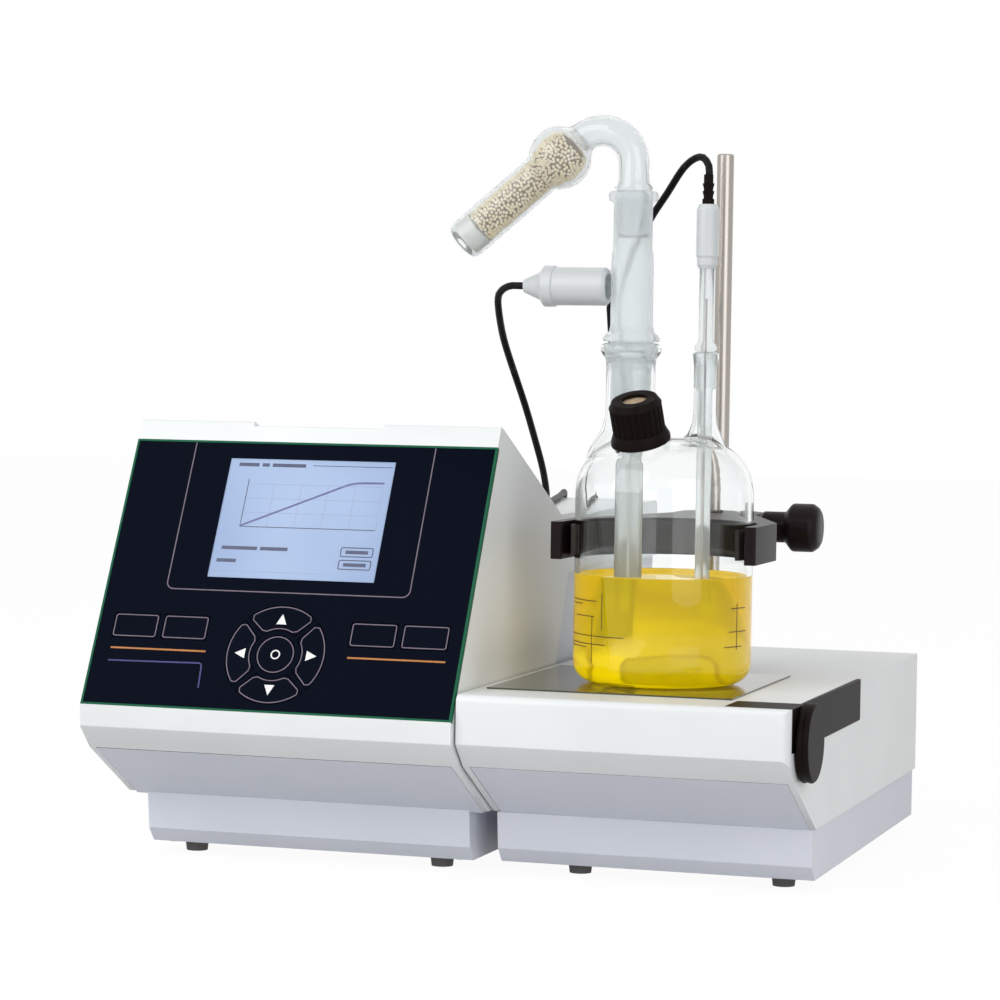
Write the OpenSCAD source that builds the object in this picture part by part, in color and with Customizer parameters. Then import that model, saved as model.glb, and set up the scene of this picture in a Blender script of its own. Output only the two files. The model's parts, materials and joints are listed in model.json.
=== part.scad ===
// Automatic titrator: control unit, magnetic stirrer and coulometric cell on a stand.
// Millimetres. X runs to the right, Y to the back, Z up. The origin lies on the bench
// under the middle of the two housings.

/* [Housings] */
// Width of the titrator housing
titrator_w = 153; // [145:1:170]
// Depth of the titrator housing
titrator_d = 290; // [275:1:320]
// Width of the stirrer housing
stirrer_w = 129; // [125:1:150]
// Depth of the stirrer housing
stirrer_d = 252; // [235:1:275]
// Height of the stirrer housing
stirrer_h = 76; // [74:0.5:82]
// Gap between the two housings
unit_gap = 1; // [0.5:0.5:4]
// Wall thickness of covers and chassis
wall = 2.5; // [2:0.1:3]
// Height of the rear deck of the titrator cover
deck_h = 138; // [134:1:144]

/* [Front profile] */
// Height of the lower edge of the front lip
lip_z = 57; // [54:0.5:60]
// Height of the upright face of the titrator lip
lip_h = 8.6; // [7:0.1:10]
// Depth of the slanted strip under the lip
bevel_d = 9.3; // [8:0.1:11]
// Drop of the slanted strip under the lip
bevel_drop = 9.4; // [8:0.1:10]
// Setback of the plinth behind the lip
plinth_back = 48; // [44:1:54]
// Height of the top of the plinth
plinth_z = 25.7; // [24:0.1:28]

/* [Operating panel] */
// Lean of the panel from upright, in degrees
panel_lean = 27.5; // [25:0.5:29]
// Length of the panel along its slope
panel_l = 115.5; // [114:0.5:118]
// Thickness of the panel
panel_t = 2; // [1.6:0.1:2.4]
// Width of the display
display_w = 70; // [60:1:72]
// Height of the display
display_h = 52; // [46:1:53]
// Travel of a key
key_travel = 0.6; // [0.3:0.1:0.6]
// Gap round a key
key_gap = 0.3; // [0.25:0.05:0.4]

/* [Feet] */
// Height of the rubber feet
foot_h = 5; // [4:0.5:6]
// Radius of the rubber feet
foot_r = 4.8; // [4:0.1:6]

/* [Stirrer] */
// Side of the square vessel plate, across
plate_w = 97; // [90:1:99]
// Side of the square vessel plate, front to back
plate_d = 98; // [90:1:104]
// Thickness of the vessel plate
plate_t = 1.4; // [1.2:0.1:1.5]
// Radius of the speed wheel
wheel_r = 15; // [13:0.5:16]
// How far the speed wheel stands out of the side
wheel_out = 5.5; // [4:0.5:8]
// Radius of the magnet rotor
rotor_r = 26; // [20:1:28]

/* [Stand] */
// Radius of the stand rod
rod_r = 3.5; // [3.5:0.25:4]
// Height of the top of the rod above the bench
rod_top = 288.5; // [280:0.5:310]
// Height of the clamp
clamp_h = 14.7; // [12:0.1:18]
// Radius of the clamp knob
knob_r = 10; // [8:0.5:11]

/* [Cell] */
// Outer radius of the vessel
vessel_r = 35; // [34:0.5:35.5]
// Glass thickness
glass_t = 2; // [1.6:0.1:2.2]
// Height of the vessel up to the top of its shoulder
shoulder_z = 96; // [94:0.5:98]
// Height of the electrolyte above the vessel foot
fill_z = 41; // [36:1:44]
// Outer radius of the generator neck
neck_r = 9.8; // [9.6:0.1:10.2]
// Height of the rim of the generator neck
neck_z = 132.7; // [131:0.1:134]
// Radius of the drying bulb
bulb_r = 12.5; // [11:0.5:13]
// Length of the drying tube behind the middle of its bulb
dry_l = 53; // [48:1:58]
// Radius of the screw cap
cap_r = 10.3; // [10.1:0.1:10.8]
// Length of the stirring bar
bar_l = 24; // [18:1:26]

/* [Hidden] */
$fn = 64;

eps = 0.01;
fit = 0.2;              // play between pieces that are pushed together
run = 0.08;             // running clearance on a radius
air = 0.4;              // gap between pieces that pass each other
seat = 0.05;            // play between glass pieces that are fixed together

socket_out = 3;         // how far the rear sockets stand out
stirrer_set = 3;        // the stirrer lip stands this far behind the titrator lip
titrator_x = -(titrator_w + unit_gap + stirrer_w + wheel_out) / 2;
stirrer_x = titrator_x + titrator_w + unit_gap;
front_y = -(titrator_d + socket_out) / 2;

bevel_z = lip_z - bevel_drop;
lip_top = lip_z + lip_h;
strip_l = 9;            // white strip above the panel
slope_l = panel_l + strip_l;
ridge_y = slope_l * sin(panel_lean);
ridge_z = lip_top + slope_l * cos(panel_lean);
back_fall = 24.5;       // fall of the rear slope, in degrees
deck_y = ridge_y + 4 + (ridge_z - 2 - deck_h) / tan(back_fall);
split_z = 113;          // lower edge of the rear part of the titrator cover
split_y = 152;
split_lean = 24;
plinth_in = 8;          // the titrator plinth stands back from the sides
rear_in = 2;            // the grey rear body stands back from the sides
stirrer_in = 1.5;
chamfer_d = 5;
base_z = foot_h;
room_y = plinth_back + chamfer_d + 4;   // front of the room inside a plinth
plate_z = foot_h + 1;   // underside of the sheet bottom plates
sheet_t = 1.5;
corner_r = 3;

plate_x = 4;
plate_y = 25;
plate_proud = 0.6;
plate_ledge = 5;
insert_w = 26;
insert_d = 25;
insert_end = 127;
insert_z = stirrer_h - 16.5;
insert_t = 1.8;
wheel_y = 20.5;
wheel_z = stirrer_h - 14;
wheel_face = 1.5;
shaft_r = 3;

motor_x = 60.8;
motor_y = 72;
motor_r = 19;
rotor_h = 8;
rotor_z = stirrer_h - wall - 2 - rotor_h;
motor_h = 28;
motor_shaft_r = 2;

cell_x = stirrer_x + motor_x;
cell_y = front_y + stirrer_set + motor_y;
cell_z = stirrer_h + plate_proud + 0.3;

rod_back = 89;          // rod axis behind the vessel axis
sleeve_t = 1.5;
clamp_z = 48;           // underside of the clamp above the vessel foot
lining_t = 1.2;
fork_in = vessel_r + lining_t + 0.3;
fork_out = fork_in + 4.6;
fork_front = 18;
boss_w = 17.5;           // half width of the clamp at the rod
screw_r = 3;
knob_l = 14.4;
knob_up = 2;            // the knob stands this far above the middle of the clamp
collar_r = 6.4;
collar_l = 9.4;

shoulder_r = 22;
foot_corner = 8;
neck_x = -14.5;
neck_in = neck_r - 1.8;
rim_r = 12.4;
rim_h = 5.6;
side_x = 15.6;
side_r = 4.6;
side_in = 3.5;
side_z = neck_z - 3;
port_turn = -11;
port_lean = 22;
port_r = 7.4;
port_l = 13.9;
cap_z = 0.6;
cap_l = 17.5;
cap_flare = 1.3;
septum_t = 2.6;
needle_r = 5;

tube_r = 8.35;
tube_in = 6.6;
tube_top = 169.3;
socket_r = 7.65;
socket_top = 192;
inner_r = 5.5;
inner_t = 1;
inner_z = 12;
arm_z = 154.6;
arm_r = 5;
arm_end = -12;
head_r = 7.5;
head_end = -36.5;
tip_end = -44.2;

dry_tube_r = 6.1;
bend_r = 13;
bend_z = 202.7;
bend_turn = 130;
bulb_out = sqrt(bulb_r * bulb_r - dry_tube_r * dry_tube_r) + 0.7;
barrel_r = 8.25;
barrel_t = 1.1;
dry_in = dry_tube_r - barrel_t;
cotton_l = 7;
plug_in = 18;           // depth of the ground plug in its socket
fuse_l = 0.4;
fuse_t = 0.06;

shaft_out = 2.9;
shaft_z = 20;
ind_head_z = 161.9;
ind_head_r = 4.4;
ind_head_l = 25;
relief_l = 11.5;
relief_r = 2.35;

cable_r = 1.5;
coil_mid = 18;
plug_r = 5.5;
plug_l = 26;
gen_plug_x = 28;
ind_plug_x = 52;
plug_z = 70;

// --- helpers -------------------------------------------------------------------------

function unit(v) = v / norm(v);

function turn(d) = d > 180 ? d - 360 : d < -180 ? d + 360 : d;

// Points of an arc of radius r round c, from angle a to angle b
function arc(c, r, a, b, n = 12) = [for (i = [0:n]) c + r * [cos(a + (b - a) * i / n), sin(a + (b - a) * i / n)]];

// Points of the round that a radius r makes at corner b, between a and c
function round_corner(a, b, c, r, n = 6) =
  let (u = unit(a - b), v = unit(c - b), half = acos(u * v) / 2,
       middle = b + unit(u + v) * r / sin(half),
       p = b + u * r / tan(half) - middle, q = b + v * r / tan(half) - middle,
       start = atan2(p[1], p[0]))
  arc(middle, r, start, start + turn(atan2(q[1], q[0]) - start), n);

// Outline from corners given as [x, y, radius]
function outline(c) =
  let (n = len(c), p = [for (k = c) [k[0], k[1]]])
  [for (i = [0:n - 1])
    each c[i][2] > 0 ? round_corner(p[(i + n - 1) % n], p[i], p[(i + 1) % n], c[i][2]) : [p[i]]];

// The same corners moved inwards by t, for an outline that runs anticlockwise
function inset(c, t) =
  let (n = len(c), p = [for (k = c) [k[0], k[1]]])
  [for (i = [0:n - 1])
    let (u = unit(p[i] - p[(i + n - 1) % n]), v = unit(p[(i + 1) % n] - p[i]),
         a = [-u[1], u[0]], b = [-v[1], v[0]], m = unit(a + b), q = p[i] + m * t / (m * a))
    [q[0], q[1], max(c[i][2] - t, 0)]];

// Extrudes a side profile of [depth, height] points across the width, from a to b
module across(a, b) translate([a, 0, 0]) rotate([90, 0, 90]) linear_extrude(b - a) children();

module block(low, high) translate(low) cube(high - low);

module rod_x(a, b, r) translate([a, 0, 0]) rotate([0, 90, 0]) cylinder(r = r, h = b - a);

module rod_y(a, b, r) translate([0, b, 0]) rotate([90, 0, 0]) cylinder(r = r, h = b - a);

module ring(r_out, r_in, h) difference() {
  cylinder(r = r_out, h = h);
  translate([0, 0, -eps]) cylinder(r = r_in, h = h + 2 * eps);
}

module at_titrator() translate([titrator_x, front_y, 0]) children();

module at_stirrer() translate([stirrer_x, front_y + stirrer_set, 0]) children();

module at_cell() translate([cell_x, cell_y, cell_z]) children();

// Frame of the leaning panel: X across, Y up the slope, Z out of the face
module on_slope() at_titrator() translate([0, 0, lip_top]) rotate([90 - panel_lean, 0, 0]) children();

// --- titrator housing ------------------------------------------------------------------

under_front = [[0, lip_z, 1], [bevel_d, bevel_z, 0], [plinth_back, plinth_z, 0]];

titrator_side = concat(under_front, [
  [split_y - (split_z - plinth_z) * tan(split_lean), plinth_z, 0], [split_y, split_z, 0],
  [titrator_d, split_z, 0], [titrator_d, deck_h, corner_r], [deck_y, deck_h, 0],
  [ridge_y + 4, ridge_z - 1.5, 3], [ridge_y, ridge_z, 1], [0, lip_top, 0]]);

// What is open between the side walls: the room inside and all below the slanted strip
function titrator_room(t) =
  let (k = inset(titrator_side, t))
  [[bevel_d, bevel_z - 0, 0], [k[0][0], k[0][1], 0], [k[10][0], k[10][1], 0], [k[9][0], k[9][1], 0],
   [k[8][0], k[8][1], 0], [k[7][0], k[7][1], 0], [titrator_d - t, deck_h - t, 0], [titrator_d - t, 0, 0],
   [bevel_d, 0, 0]];

post_x = wall + 4.5;
titrator_posts = [[post_x + plinth_in, 60], [titrator_w - post_x - plinth_in, 60],
                  [post_x + plinth_in, titrator_d - 20], [titrator_w - post_x - plinth_in, titrator_d - 20]];
post_r = 4;
post_split = 12;
pilot_r = 1.2;

function screw_top(p) = p[1] < split_y ? plinth_z + post_split + 10 : split_z + 10;

module titrator_cover() color("whitesmoke") {
  strip_back = [[bevel_d, bevel_z], [bevel_d + wall, bevel_z + wall * 0.7]];
  difference() {
    union() {
      at_titrator() difference() {
        across(0, titrator_w) polygon(outline(titrator_side));
        across(wall, titrator_w - wall) polygon(outline(titrator_room(wall)));
        translate([titrator_w / 2, 0, 0]) notch();
      }
      at_titrator() for (p = titrator_posts) cover_post(p);
    }
    on_slope() block([-eps, 0, -panel_t], [titrator_w + eps, panel_l, wall]);
    on_slope() block([4, 2, -wall - 6], [titrator_w - 4, panel_l - 4, wall]);
    at_titrator() for (p = titrator_posts)
      translate([p[0], p[1], 0]) cylinder(r = pilot_r, h = screw_top(p), $fn = 24);
  }
}

// Post for a cover screw, with two webs to the side wall
module cover_post(p) {
  near = p[0] < titrator_w / 2 ? wall - eps : titrator_w - wall + eps;
  low = p[1] < split_y ? plinth_z + post_split + fit : split_z + 2;
  intersection() {
    union() {
      translate([p[0], p[1], low]) cylinder(r = post_r, h = ridge_z);
      block([min(near, p[0]), p[1] - 1, low + 2], [max(near, p[0]), p[1] + 1, ridge_z]);
    }
    across(wall / 2, titrator_w - wall / 2) polygon(outline(inset(titrator_side, wall / 2)));
  }
}

// Shallow finger notch in the ridge
module notch() translate([-27.5, ridge_y - 8, ridge_z - 2]) cube([55, 30, 6]);

titrator_rear = [
  [bevel_d + 0.6, bevel_z - 0.4, 0], [plinth_back, plinth_z, 0], [titrator_d - wall - fit, plinth_z, 0],
  [titrator_d - wall - fit, split_z - fit, 0], [split_y, split_z - fit, 0],
  [split_y - 45, plinth_z + 20, 0], [plinth_back + 8, plinth_z + 14, 0], [bevel_d + 6, bevel_z + 6, 0]];

module titrator_chassis() color("lightsteelblue") at_titrator() difference() {
  union() {
    difference() {
      titrator_tray();
      block([plinth_in + wall, room_y, -1], [titrator_w - plinth_in - wall, titrator_d - 12 - wall, plinth_z + wall + 1]);
      socket_holes();
    }
    for (p = titrator_posts) chassis_post(p, p[1] < split_y ? plinth_z + post_split : split_z + 1.8, p[0] < titrator_w / 2 ? plinth_in + 1 : titrator_w - plinth_in - 1);
  }
  for (p = titrator_posts) translate([p[0], p[1], 0]) cylinder(r = pilot_r, h = split_z + 10, $fn = 24);
}

module titrator_tray() {
    // slanted front between the side walls of the cover
  slanted_front(titrator_w, split_y - 30);
  difference() {
    rear_block(rear_in, 0, 0);
    rear_block(rear_in + wall, wall, 40);
  }
  plinth(titrator_w, plinth_in, titrator_d - 12);
}

// Rear body of the chassis, its walls moved in by t and its open front moved forward
module rear_block(side, t, forward) {
  foot_y = split_y - (split_z - plinth_z) * tan(split_lean) + fit;
  top = split_z - fit + (t > 0 ? 1 : 0);
  across(side, titrator_w - side) polygon([
    [foot_y - forward, plinth_z + t], [titrator_d - t, plinth_z + t], [titrator_d - t, top],
    [split_y + fit - forward, top]]);
}

// Slanted front plate between the side walls of a cover, running on as a floor
module slanted_front(w, back) across(wall + fit, w - wall - fit) polygon([
  [bevel_d + 0.3, bevel_z - 0.3], [plinth_back, plinth_z], [plinth_back + 1.5, plinth_z - 1], [back, plinth_z - 1],
  [back, plinth_z + wall], [plinth_back + 1, plinth_z + wall], [bevel_d + 2.6, bevel_z + 1.1]]);

// Plinth with a slanted lower front edge
module plinth(w, side, depth) across(side, w - side) polygon([
  [plinth_back, plinth_z - fit], [plinth_back + 1.5, base_z + chamfer_d + 0.8],
  [plinth_back + 1.5 + chamfer_d, base_z], [depth, base_z], [depth, plinth_z - fit]]);

// Post between the bottom plate and the cover, with a web to the plinth wall
module chassis_post(p, top, side) {
  translate([p[0], p[1], board_z]) cylinder(r = post_r, h = top - board_z);
  block([min(side, p[0]), p[1] - 1, board_z], [max(side, p[0]), p[1] + 1, plinth_z - 1]);
}

socket_spots = [gen_plug_x, ind_plug_x];
inlet_x = 84;
data_x = 104;
switch_x = 130;

module socket_holes() {
  for (x = socket_spots) translate([x, 0, plug_z]) rod_y(titrator_d - 10, titrator_d + 1, 6);
  translate([inlet_x, 0, plug_z]) rod_y(titrator_d - 10, titrator_d + 1, 4.5);
  block([data_x - 6.5, titrator_d - 10, plug_z - 4], [data_x + 6.5, titrator_d + 1, plug_z + 4]);
  block([switch_x - 7, titrator_d - 10, plug_z - 10], [switch_x + 7, titrator_d + 1, plug_z + 10]);
}

module titrator_base_plate() color("silver") at_titrator() difference() {
  block([plinth_in + wall + fit, room_y + fit, plate_z],
        [titrator_w - plinth_in - wall - fit, titrator_d - 12 - wall - fit, plate_z + sheet_t]);
  for (x = [40:12:112], y = [110:10:150])
    translate([x, y, plate_z - 1]) cylinder(r = 2, h = 4, $fn = 24);
  for (p = titrator_posts) translate([p[0], p[1], plate_z - 1]) cylinder(r = pilot_r, h = 4, $fn = 24);
}

key_z = panel_t;
// Outline boxes of the four square keys: left edge, lower edge, width, height
key_w = 18.8;
key_h = 10;
key_y = 29;
nav_c = [titrator_w / 2 + 0.8, 24.3];
nav_r = 20.5;
nav_in = 10.4;
ok_r = 7.8;
flange_t = 0.6;
board_w = -key_travel - panel_t - 2.4;

function key_left_edge(i) = [7.1, 28.2, titrator_w - 46.5, titrator_w - 25.3][i];

module key_box(i, grow = 0) {
  translate([key_left_edge(i) - grow, key_y - grow]) square([key_w + 2 * grow, key_h + 2 * grow]);
}

// One of the four arrow keys: a quarter of a ring with straight gaps
module key_quarter(angle, grow = 0) translate(nav_c) rotate(angle) intersection() {
  difference() {
    circle(r = nav_r + grow);
    circle(r = nav_in - grow);
  }
  translate([1.6 - 1.4 * grow, 0]) rotate(-45) square(40);
}

// A key: its cap through the panel and a wider foot behind it
module key_solid() {
  translate([0, 0, -panel_t - 0.35 - flange_t]) linear_extrude(panel_t + 0.35 + flange_t) children(0);
  translate([0, 0, -panel_t - 0.35 - flange_t]) linear_extrude(flange_t) children(1);
}

module box_key(i) color("black") on_slope() key_solid() {
  key_box(i);
  key_box(i, 0.8);
}

module arrow_key(angle) color("black") on_slope() key_solid() {
  key_quarter(angle);
  key_quarter(angle, 0.4);
}

module key_mode() box_key(0);
module key_edit() box_key(1);
module key_esc() box_key(2);
module key_start() box_key(3);
module key_right() arrow_key(0);
module key_up() arrow_key(90);
module key_left() arrow_key(180);
module key_down() arrow_key(270);

module key_ok() color("black") on_slope() translate([nav_c[0], nav_c[1], 0]) key_solid() {
  circle(r = ok_r);
  circle(r = ok_r + 0.6);
}

display_x = titrator_w / 2 + 0.6;
display_y = 82;

module operating_panel() color("midnightblue") on_slope() difference() {
  block([0, 0, -panel_t], [titrator_w, panel_l, 0]);
  translate([0, 0, -panel_t - 1]) linear_extrude(panel_t + 2) {
    for (i = [0:3]) key_box(i, key_gap);
    for (a = [0:90:270]) key_quarter(a, key_gap);
    translate(nav_c) circle(r = ok_r + key_gap);
    translate([display_x - display_w / 2, display_y - display_h / 2]) square([display_w, display_h]);
  }
}

module display_pane() color("lightblue") on_slope()
  block([display_x - display_w / 2, display_y - display_h / 2, -panel_t],
        [display_x + display_w / 2, display_y + display_h / 2, -0.4]);

module display_module() color("dimgray") on_slope()
  block([display_x - display_w / 2 - 3.5, display_y - display_h / 2 - 5.5, board_w],
        [display_x + display_w / 2 + 3.5, display_y + display_h / 2 + 1.5, -panel_t]);

module keypad_board() color("darkgreen") on_slope() {
  block([9, 8, board_w - 1.6], [titrator_w - 9, panel_l - 7, board_w]);
  for (x = [12, titrator_w - 12], y = [12, panel_l - 11])
    translate([x, y, board_w - eps]) cylinder(r = 2, h = -board_w - panel_t + eps, $fn = 24);
  for (i = [0:3]) dome([key_left_edge(i) + key_w / 2, key_y + key_h / 2]);
  for (a = [0:90:270]) dome(nav_c + 15 * [cos(a), sin(a)]);
  dome(nav_c);
}

module dome(p) translate([p[0], p[1], board_w - eps]) cylinder(r = 3, h = 0.5, $fn = 24);

// --- boards, sockets and small parts of the titrator ------------------------------------

board_z = plate_z + sheet_t;
main_x = 20;
supply_x = titrator_w - 73;
pcb_y = 60;
pcb_w = 50;
main_d = 150;
supply_d = 120;

// A printed board on four posts
module board(x, y, w, d, z) {
  block([x, y, z], [x + w, y + d, z + 1.6]);
  for (i = [x + 5, x + w - 5], j = [y + 5, y + d - 5])
    translate([i, j, board_z]) cylinder(r = 3, h = z - board_z + eps, $fn = 24);
}

module main_board() color("darkgreen") at_titrator() {
  board(main_x, pcb_y, pcb_w, main_d, board_z + 6);
  translate([main_x, pcb_y, board_z + 7.6 - eps]) {
    block([10, 20, 0], [34, 44, 3]);
    block([12, 60, 0], [32, 74, 2.5]);
    for (i = [0:3]) translate([14, main_d - 60 + 14 * i, 0]) cylinder(r = 5, h = 12, $fn = 32);
    for (i = [0:6]) block([pcb_w - 10, 15 + 18 * i, 0], [pcb_w - 4, 25 + 18 * i, 2]);
  }
}

module generator_board() color("darkolivegreen") at_titrator() {
  board(supply_x, pcb_y, pcb_w, supply_d, board_z + 6);
  translate([supply_x, pcb_y, board_z + 7.6 - eps]) {
    block([6, 10, 0], [pcb_w - 6, 40, 24]);
    for (i = [0:5]) block([8 + 6 * i, 50, 0], [10 + 6 * i, 80, 18]);
    block([6, 50, 0], [pcb_w - 6, 80, 3]);
    translate([20, supply_d - 20, 0]) cylinder(r = 8, h = 16, $fn = 40);
  }
}

module rear_sockets() color("silver") at_titrator() {
  for (x = socket_spots) translate([x, 0, plug_z]) rear_socket(5.8, 3);
  translate([inlet_x, 0, plug_z]) rear_socket(4.3, 2);
  difference() {
    union() {
      block([data_x - 6.3, titrator_d - 12, plug_z - 3.8], [data_x + 6.3, titrator_d + 0.8, plug_z + 3.8]);
      block([data_x - 7.5, titrator_d, plug_z - 5], [data_x + 7.5, titrator_d + 0.8, plug_z + 5]);
    }
    block([data_x - 5, titrator_d - 8, plug_z - 2.4], [data_x + 5, titrator_d + 2, plug_z + 2.4]);
  }
  block([gen_plug_x - 14, titrator_d - 16, plug_z - 12], [data_x + 12, titrator_d - 12, plug_z + 12]);
}

// Round chassis socket with a collar outside the rear wall
module rear_socket(r, bore) {
  difference() {
    union() {
      rod_y(titrator_d - 12 - eps, titrator_d + socket_out, r);
      rod_y(titrator_d, titrator_d + 1.2, r + 2);
    }
    rod_y(titrator_d - 6, titrator_d + socket_out + 1, bore);
  }
  rod_y(titrator_d - 7, titrator_d + 1, bore / 3);
}

module power_switch() color("black") at_titrator() translate([switch_x, titrator_d - 1, plug_z])
  rotate([0, 90, 0]) translate([0, 0, -6]) intersection() {
    cylinder(r = 9, h = 12);
    translate([-9, -9, 0]) cube([18, 11.5, 12]);
  }

titrator_foot_spots = [[21.4, 68], [titrator_w - 25.6, 68], [21.4, titrator_d - 36], [titrator_w - 25.6, titrator_d - 36]];
stirrer_foot_spots = [[29.5, 70], [stirrer_w - 17.2, 70], [29.5, 216], [stirrer_w - 15, 216]];

module foot(x, y) translate([x, y, 0]) {
  cylinder(r1 = foot_r - 0.5, r2 = foot_r, h = foot_h - 1 + eps);
  translate([0, 0, foot_h - 1]) cylinder(r = foot_r, h = plate_z - foot_h + 1);
}

module titrator_feet() color("dimgray") at_titrator() for (p = titrator_foot_spots) foot(p[0], p[1]);

// Screw from below through the bottom plate
module base_screw(p, top) translate([p[0], p[1], plate_z - 1.6]) {
  cylinder(r = 2.6, h = 1.6, $fn = 32);
  cylinder(r = pilot_r, h = top - plate_z + 1.6, $fn = 24);
}

module titrator_screws() color("silver") at_titrator()
  for (p = titrator_posts) base_screw(p, screw_top(p) - 0.5);

// --- stirrer ----------------------------------------------------------------------------

stirrer_side = concat(under_front, [
  [stirrer_d, plinth_z, 0], [stirrer_d, stirrer_h, corner_r], [0, stirrer_h, corner_r]]);

function stirrer_room(t) = [
  [bevel_d, bevel_z, 0], [t, lip_z + 1, 0], [t, stirrer_h - t, 2],
  [stirrer_d - t, stirrer_h - t, 1], [stirrer_d - t, 0, 0], [bevel_d, 0, 0]];

module stirrer_cover() color("whitesmoke") at_stirrer() difference() {
  intersection() {
    difference() {
      across(0, stirrer_w) polygon(outline(stirrer_side));
      across(wall, stirrer_w - wall) polygon(outline(stirrer_room(wall)));
    }
    linear_extrude(stirrer_h + 1) polygon(outline([
      [0, 0, 0], [stirrer_w, 0, 4], [stirrer_w, stirrer_d, 4], [0, stirrer_d, 0]]));
  }
  block([plate_x, plate_y, stirrer_h + plate_proud - plate_t], [plate_x + plate_w, plate_y + plate_d, stirrer_h + 1]);
  block([plate_x + plate_ledge, plate_y + plate_ledge, stirrer_h - wall - 1],
        [plate_x + plate_w - plate_ledge, plate_y + plate_d - plate_ledge, stirrer_h + 1]);
  insert_shape(0);
  translate([0, wheel_y, wheel_z]) rod_x(stirrer_w - 8, stirrer_w + 1, shaft_r + air);
  translate([motor_x, motor_y + rod_back, stirrer_h - 9]) cylinder(r = 9, h = 20);
}

// L-shaped black inlay on the top and side edge
module insert_shape(gap) {
  t = insert_t - gap;
  block([stirrer_w - insert_w + gap, corner_r + 0.5 + gap, stirrer_h - t], [stirrer_w + 1, insert_d - gap, stirrer_h + 1]);
  block([stirrer_w - t, corner_r + 0.5 + gap, insert_z + gap], [stirrer_w + 1, insert_end - gap, stirrer_h + 1]);
}

module control_insert() color("black") at_stirrer() difference() {
  intersection() {
    insert_shape(seat);
    across(0, stirrer_w) polygon(outline(stirrer_side));
  }
  translate([0, wheel_y, wheel_z]) rod_x(stirrer_w - 8, stirrer_w + 1, shaft_r + air);
}

stirrer_posts = [for (x = [12, stirrer_w - 12], y = [room_y + 6, stirrer_d - 12]) [x, y]];

module stirrer_chassis() color("lightsteelblue") at_stirrer() difference() {
  union() {
    difference() {
      union() {
        slanted_front(stirrer_w, stirrer_d - wall - fit);
        plinth(stirrer_w, stirrer_in, stirrer_d - 2);
      }
      block([stirrer_in + wall + 2, room_y, -1],
            [stirrer_w - stirrer_in - wall - 2, stirrer_d - 2 - wall, plinth_z + wall + 1]);
    }
    for (p = stirrer_posts) chassis_post(p, plinth_z - 2, p[0] < stirrer_w / 2 ? stirrer_in + 2 : stirrer_w - stirrer_in - 2);
  }
  for (p = stirrer_posts) translate([p[0], p[1], 0]) cylinder(r = pilot_r, h = board_z + 11, $fn = 24);
}

module stirrer_base_plate() color("silver") at_stirrer() difference() {
  block([stirrer_in + wall + 2 + fit, room_y + fit, plate_z],
        [stirrer_w - stirrer_in - wall - 2 - fit, stirrer_d - 2 - wall - fit, plate_z + sheet_t]);
  for (p = stirrer_posts) translate([p[0], p[1], plate_z - 1]) cylinder(r = pilot_r, h = 4, $fn = 24);
}

module vessel_plate() color("darkslategray") at_stirrer()
  block([plate_x + seat, plate_y + seat, stirrer_h + plate_proud - plate_t],
        [plate_x + plate_w - seat, plate_y + plate_d - seat, stirrer_h + plate_proud]);

// Wheel with a shallow groove round its rim and a blind hub bore for the potentiometer shaft
module speed_wheel() color("black") at_stirrer() translate([stirrer_w + air, wheel_y, wheel_z]) rotate([0, 90, 0])
  rotate_extrude() {
    t = wheel_out - air;
    polygon([[shaft_r + run, 0], [wheel_r - 0.8, 0], [wheel_r, 0.8], [wheel_r, t / 2 - 0.8],
             [wheel_r - 0.5, t / 2], [wheel_r, t / 2 + 0.8], [wheel_r, t - 0.8], [wheel_r - 0.8, t],
             [0, t], [0, t - wheel_face], [shaft_r + run, t - wheel_face]]);
  }

module speed_potentiometer() color("slategray") at_stirrer() {
  translate([0, wheel_y, wheel_z]) {
    rod_x(stirrer_w - wall - 12, stirrer_w - wall - 2, 8);
    rod_x(stirrer_w - wall - 2 - eps, stirrer_w - wall, 5);
    rod_x(stirrer_w - wall - eps, stirrer_w + wheel_out - wheel_face - 0.5, shaft_r);
  }
  block([stirrer_w - wall - 14, wheel_y - 9, wheel_z - 9], [stirrer_w - wall - 12 + eps, wheel_y + 9, wheel_z + 9]);
}

module stirrer_motor() color("gray") at_stirrer() translate([motor_x, motor_y, 0]) {
  low = rotor_z - 3 - motor_h;
  translate([0, 0, low]) cylinder(r = motor_r, h = motor_h);
  translate([0, 0, rotor_z - 3 - eps]) cylinder(r = 5, h = 1);
  translate([0, 0, rotor_z - 3 - eps]) cylinder(r = motor_shaft_r, h = 9);
  for (a = [-25, 25, 155, 205]) rotate(a) {
    translate([motor_r + 3, 0, board_z]) cylinder(r = 2.5, h = low - board_z + 2, $fn = 24);
    translate([motor_r - 3, -2.5, low]) cube([6, 5, 2]);
  }
}

module magnet_rotor() color("darkgray") at_stirrer() translate([motor_x, motor_y, rotor_z]) difference() {
  union() {
    cylinder(r = rotor_r, h = rotor_h - 4);
    for (s = [-1, 1]) translate([s * (rotor_r - 9), 0, 0]) cylinder(r = 8, h = rotor_h, $fn = 48);
  }
  translate([0, 0, -1]) cylinder(r = motor_shaft_r + run, h = rotor_h + 2);
}

module rod_socket() color("silver") at_stirrer() translate([motor_x, motor_y + rod_back, 0]) difference() {
  union() {
    translate([0, 0, stirrer_h - wall - 14]) cylinder(r = 11.5, h = 14);
    translate([0, 0, stirrer_h - wall - eps]) cylinder(r = 9 - seat, h = wall + 1);
    translate([0, 0, board_z]) cylinder(r = 6, h = stirrer_h - wall - 14 - board_z + eps);
  }
  translate([0, 0, stirrer_h - wall - 12]) cylinder(r = rod_r + seat, h = 20);
}

module stirrer_feet() color("dimgray") at_stirrer() for (p = stirrer_foot_spots) foot(p[0], p[1]);

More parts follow.
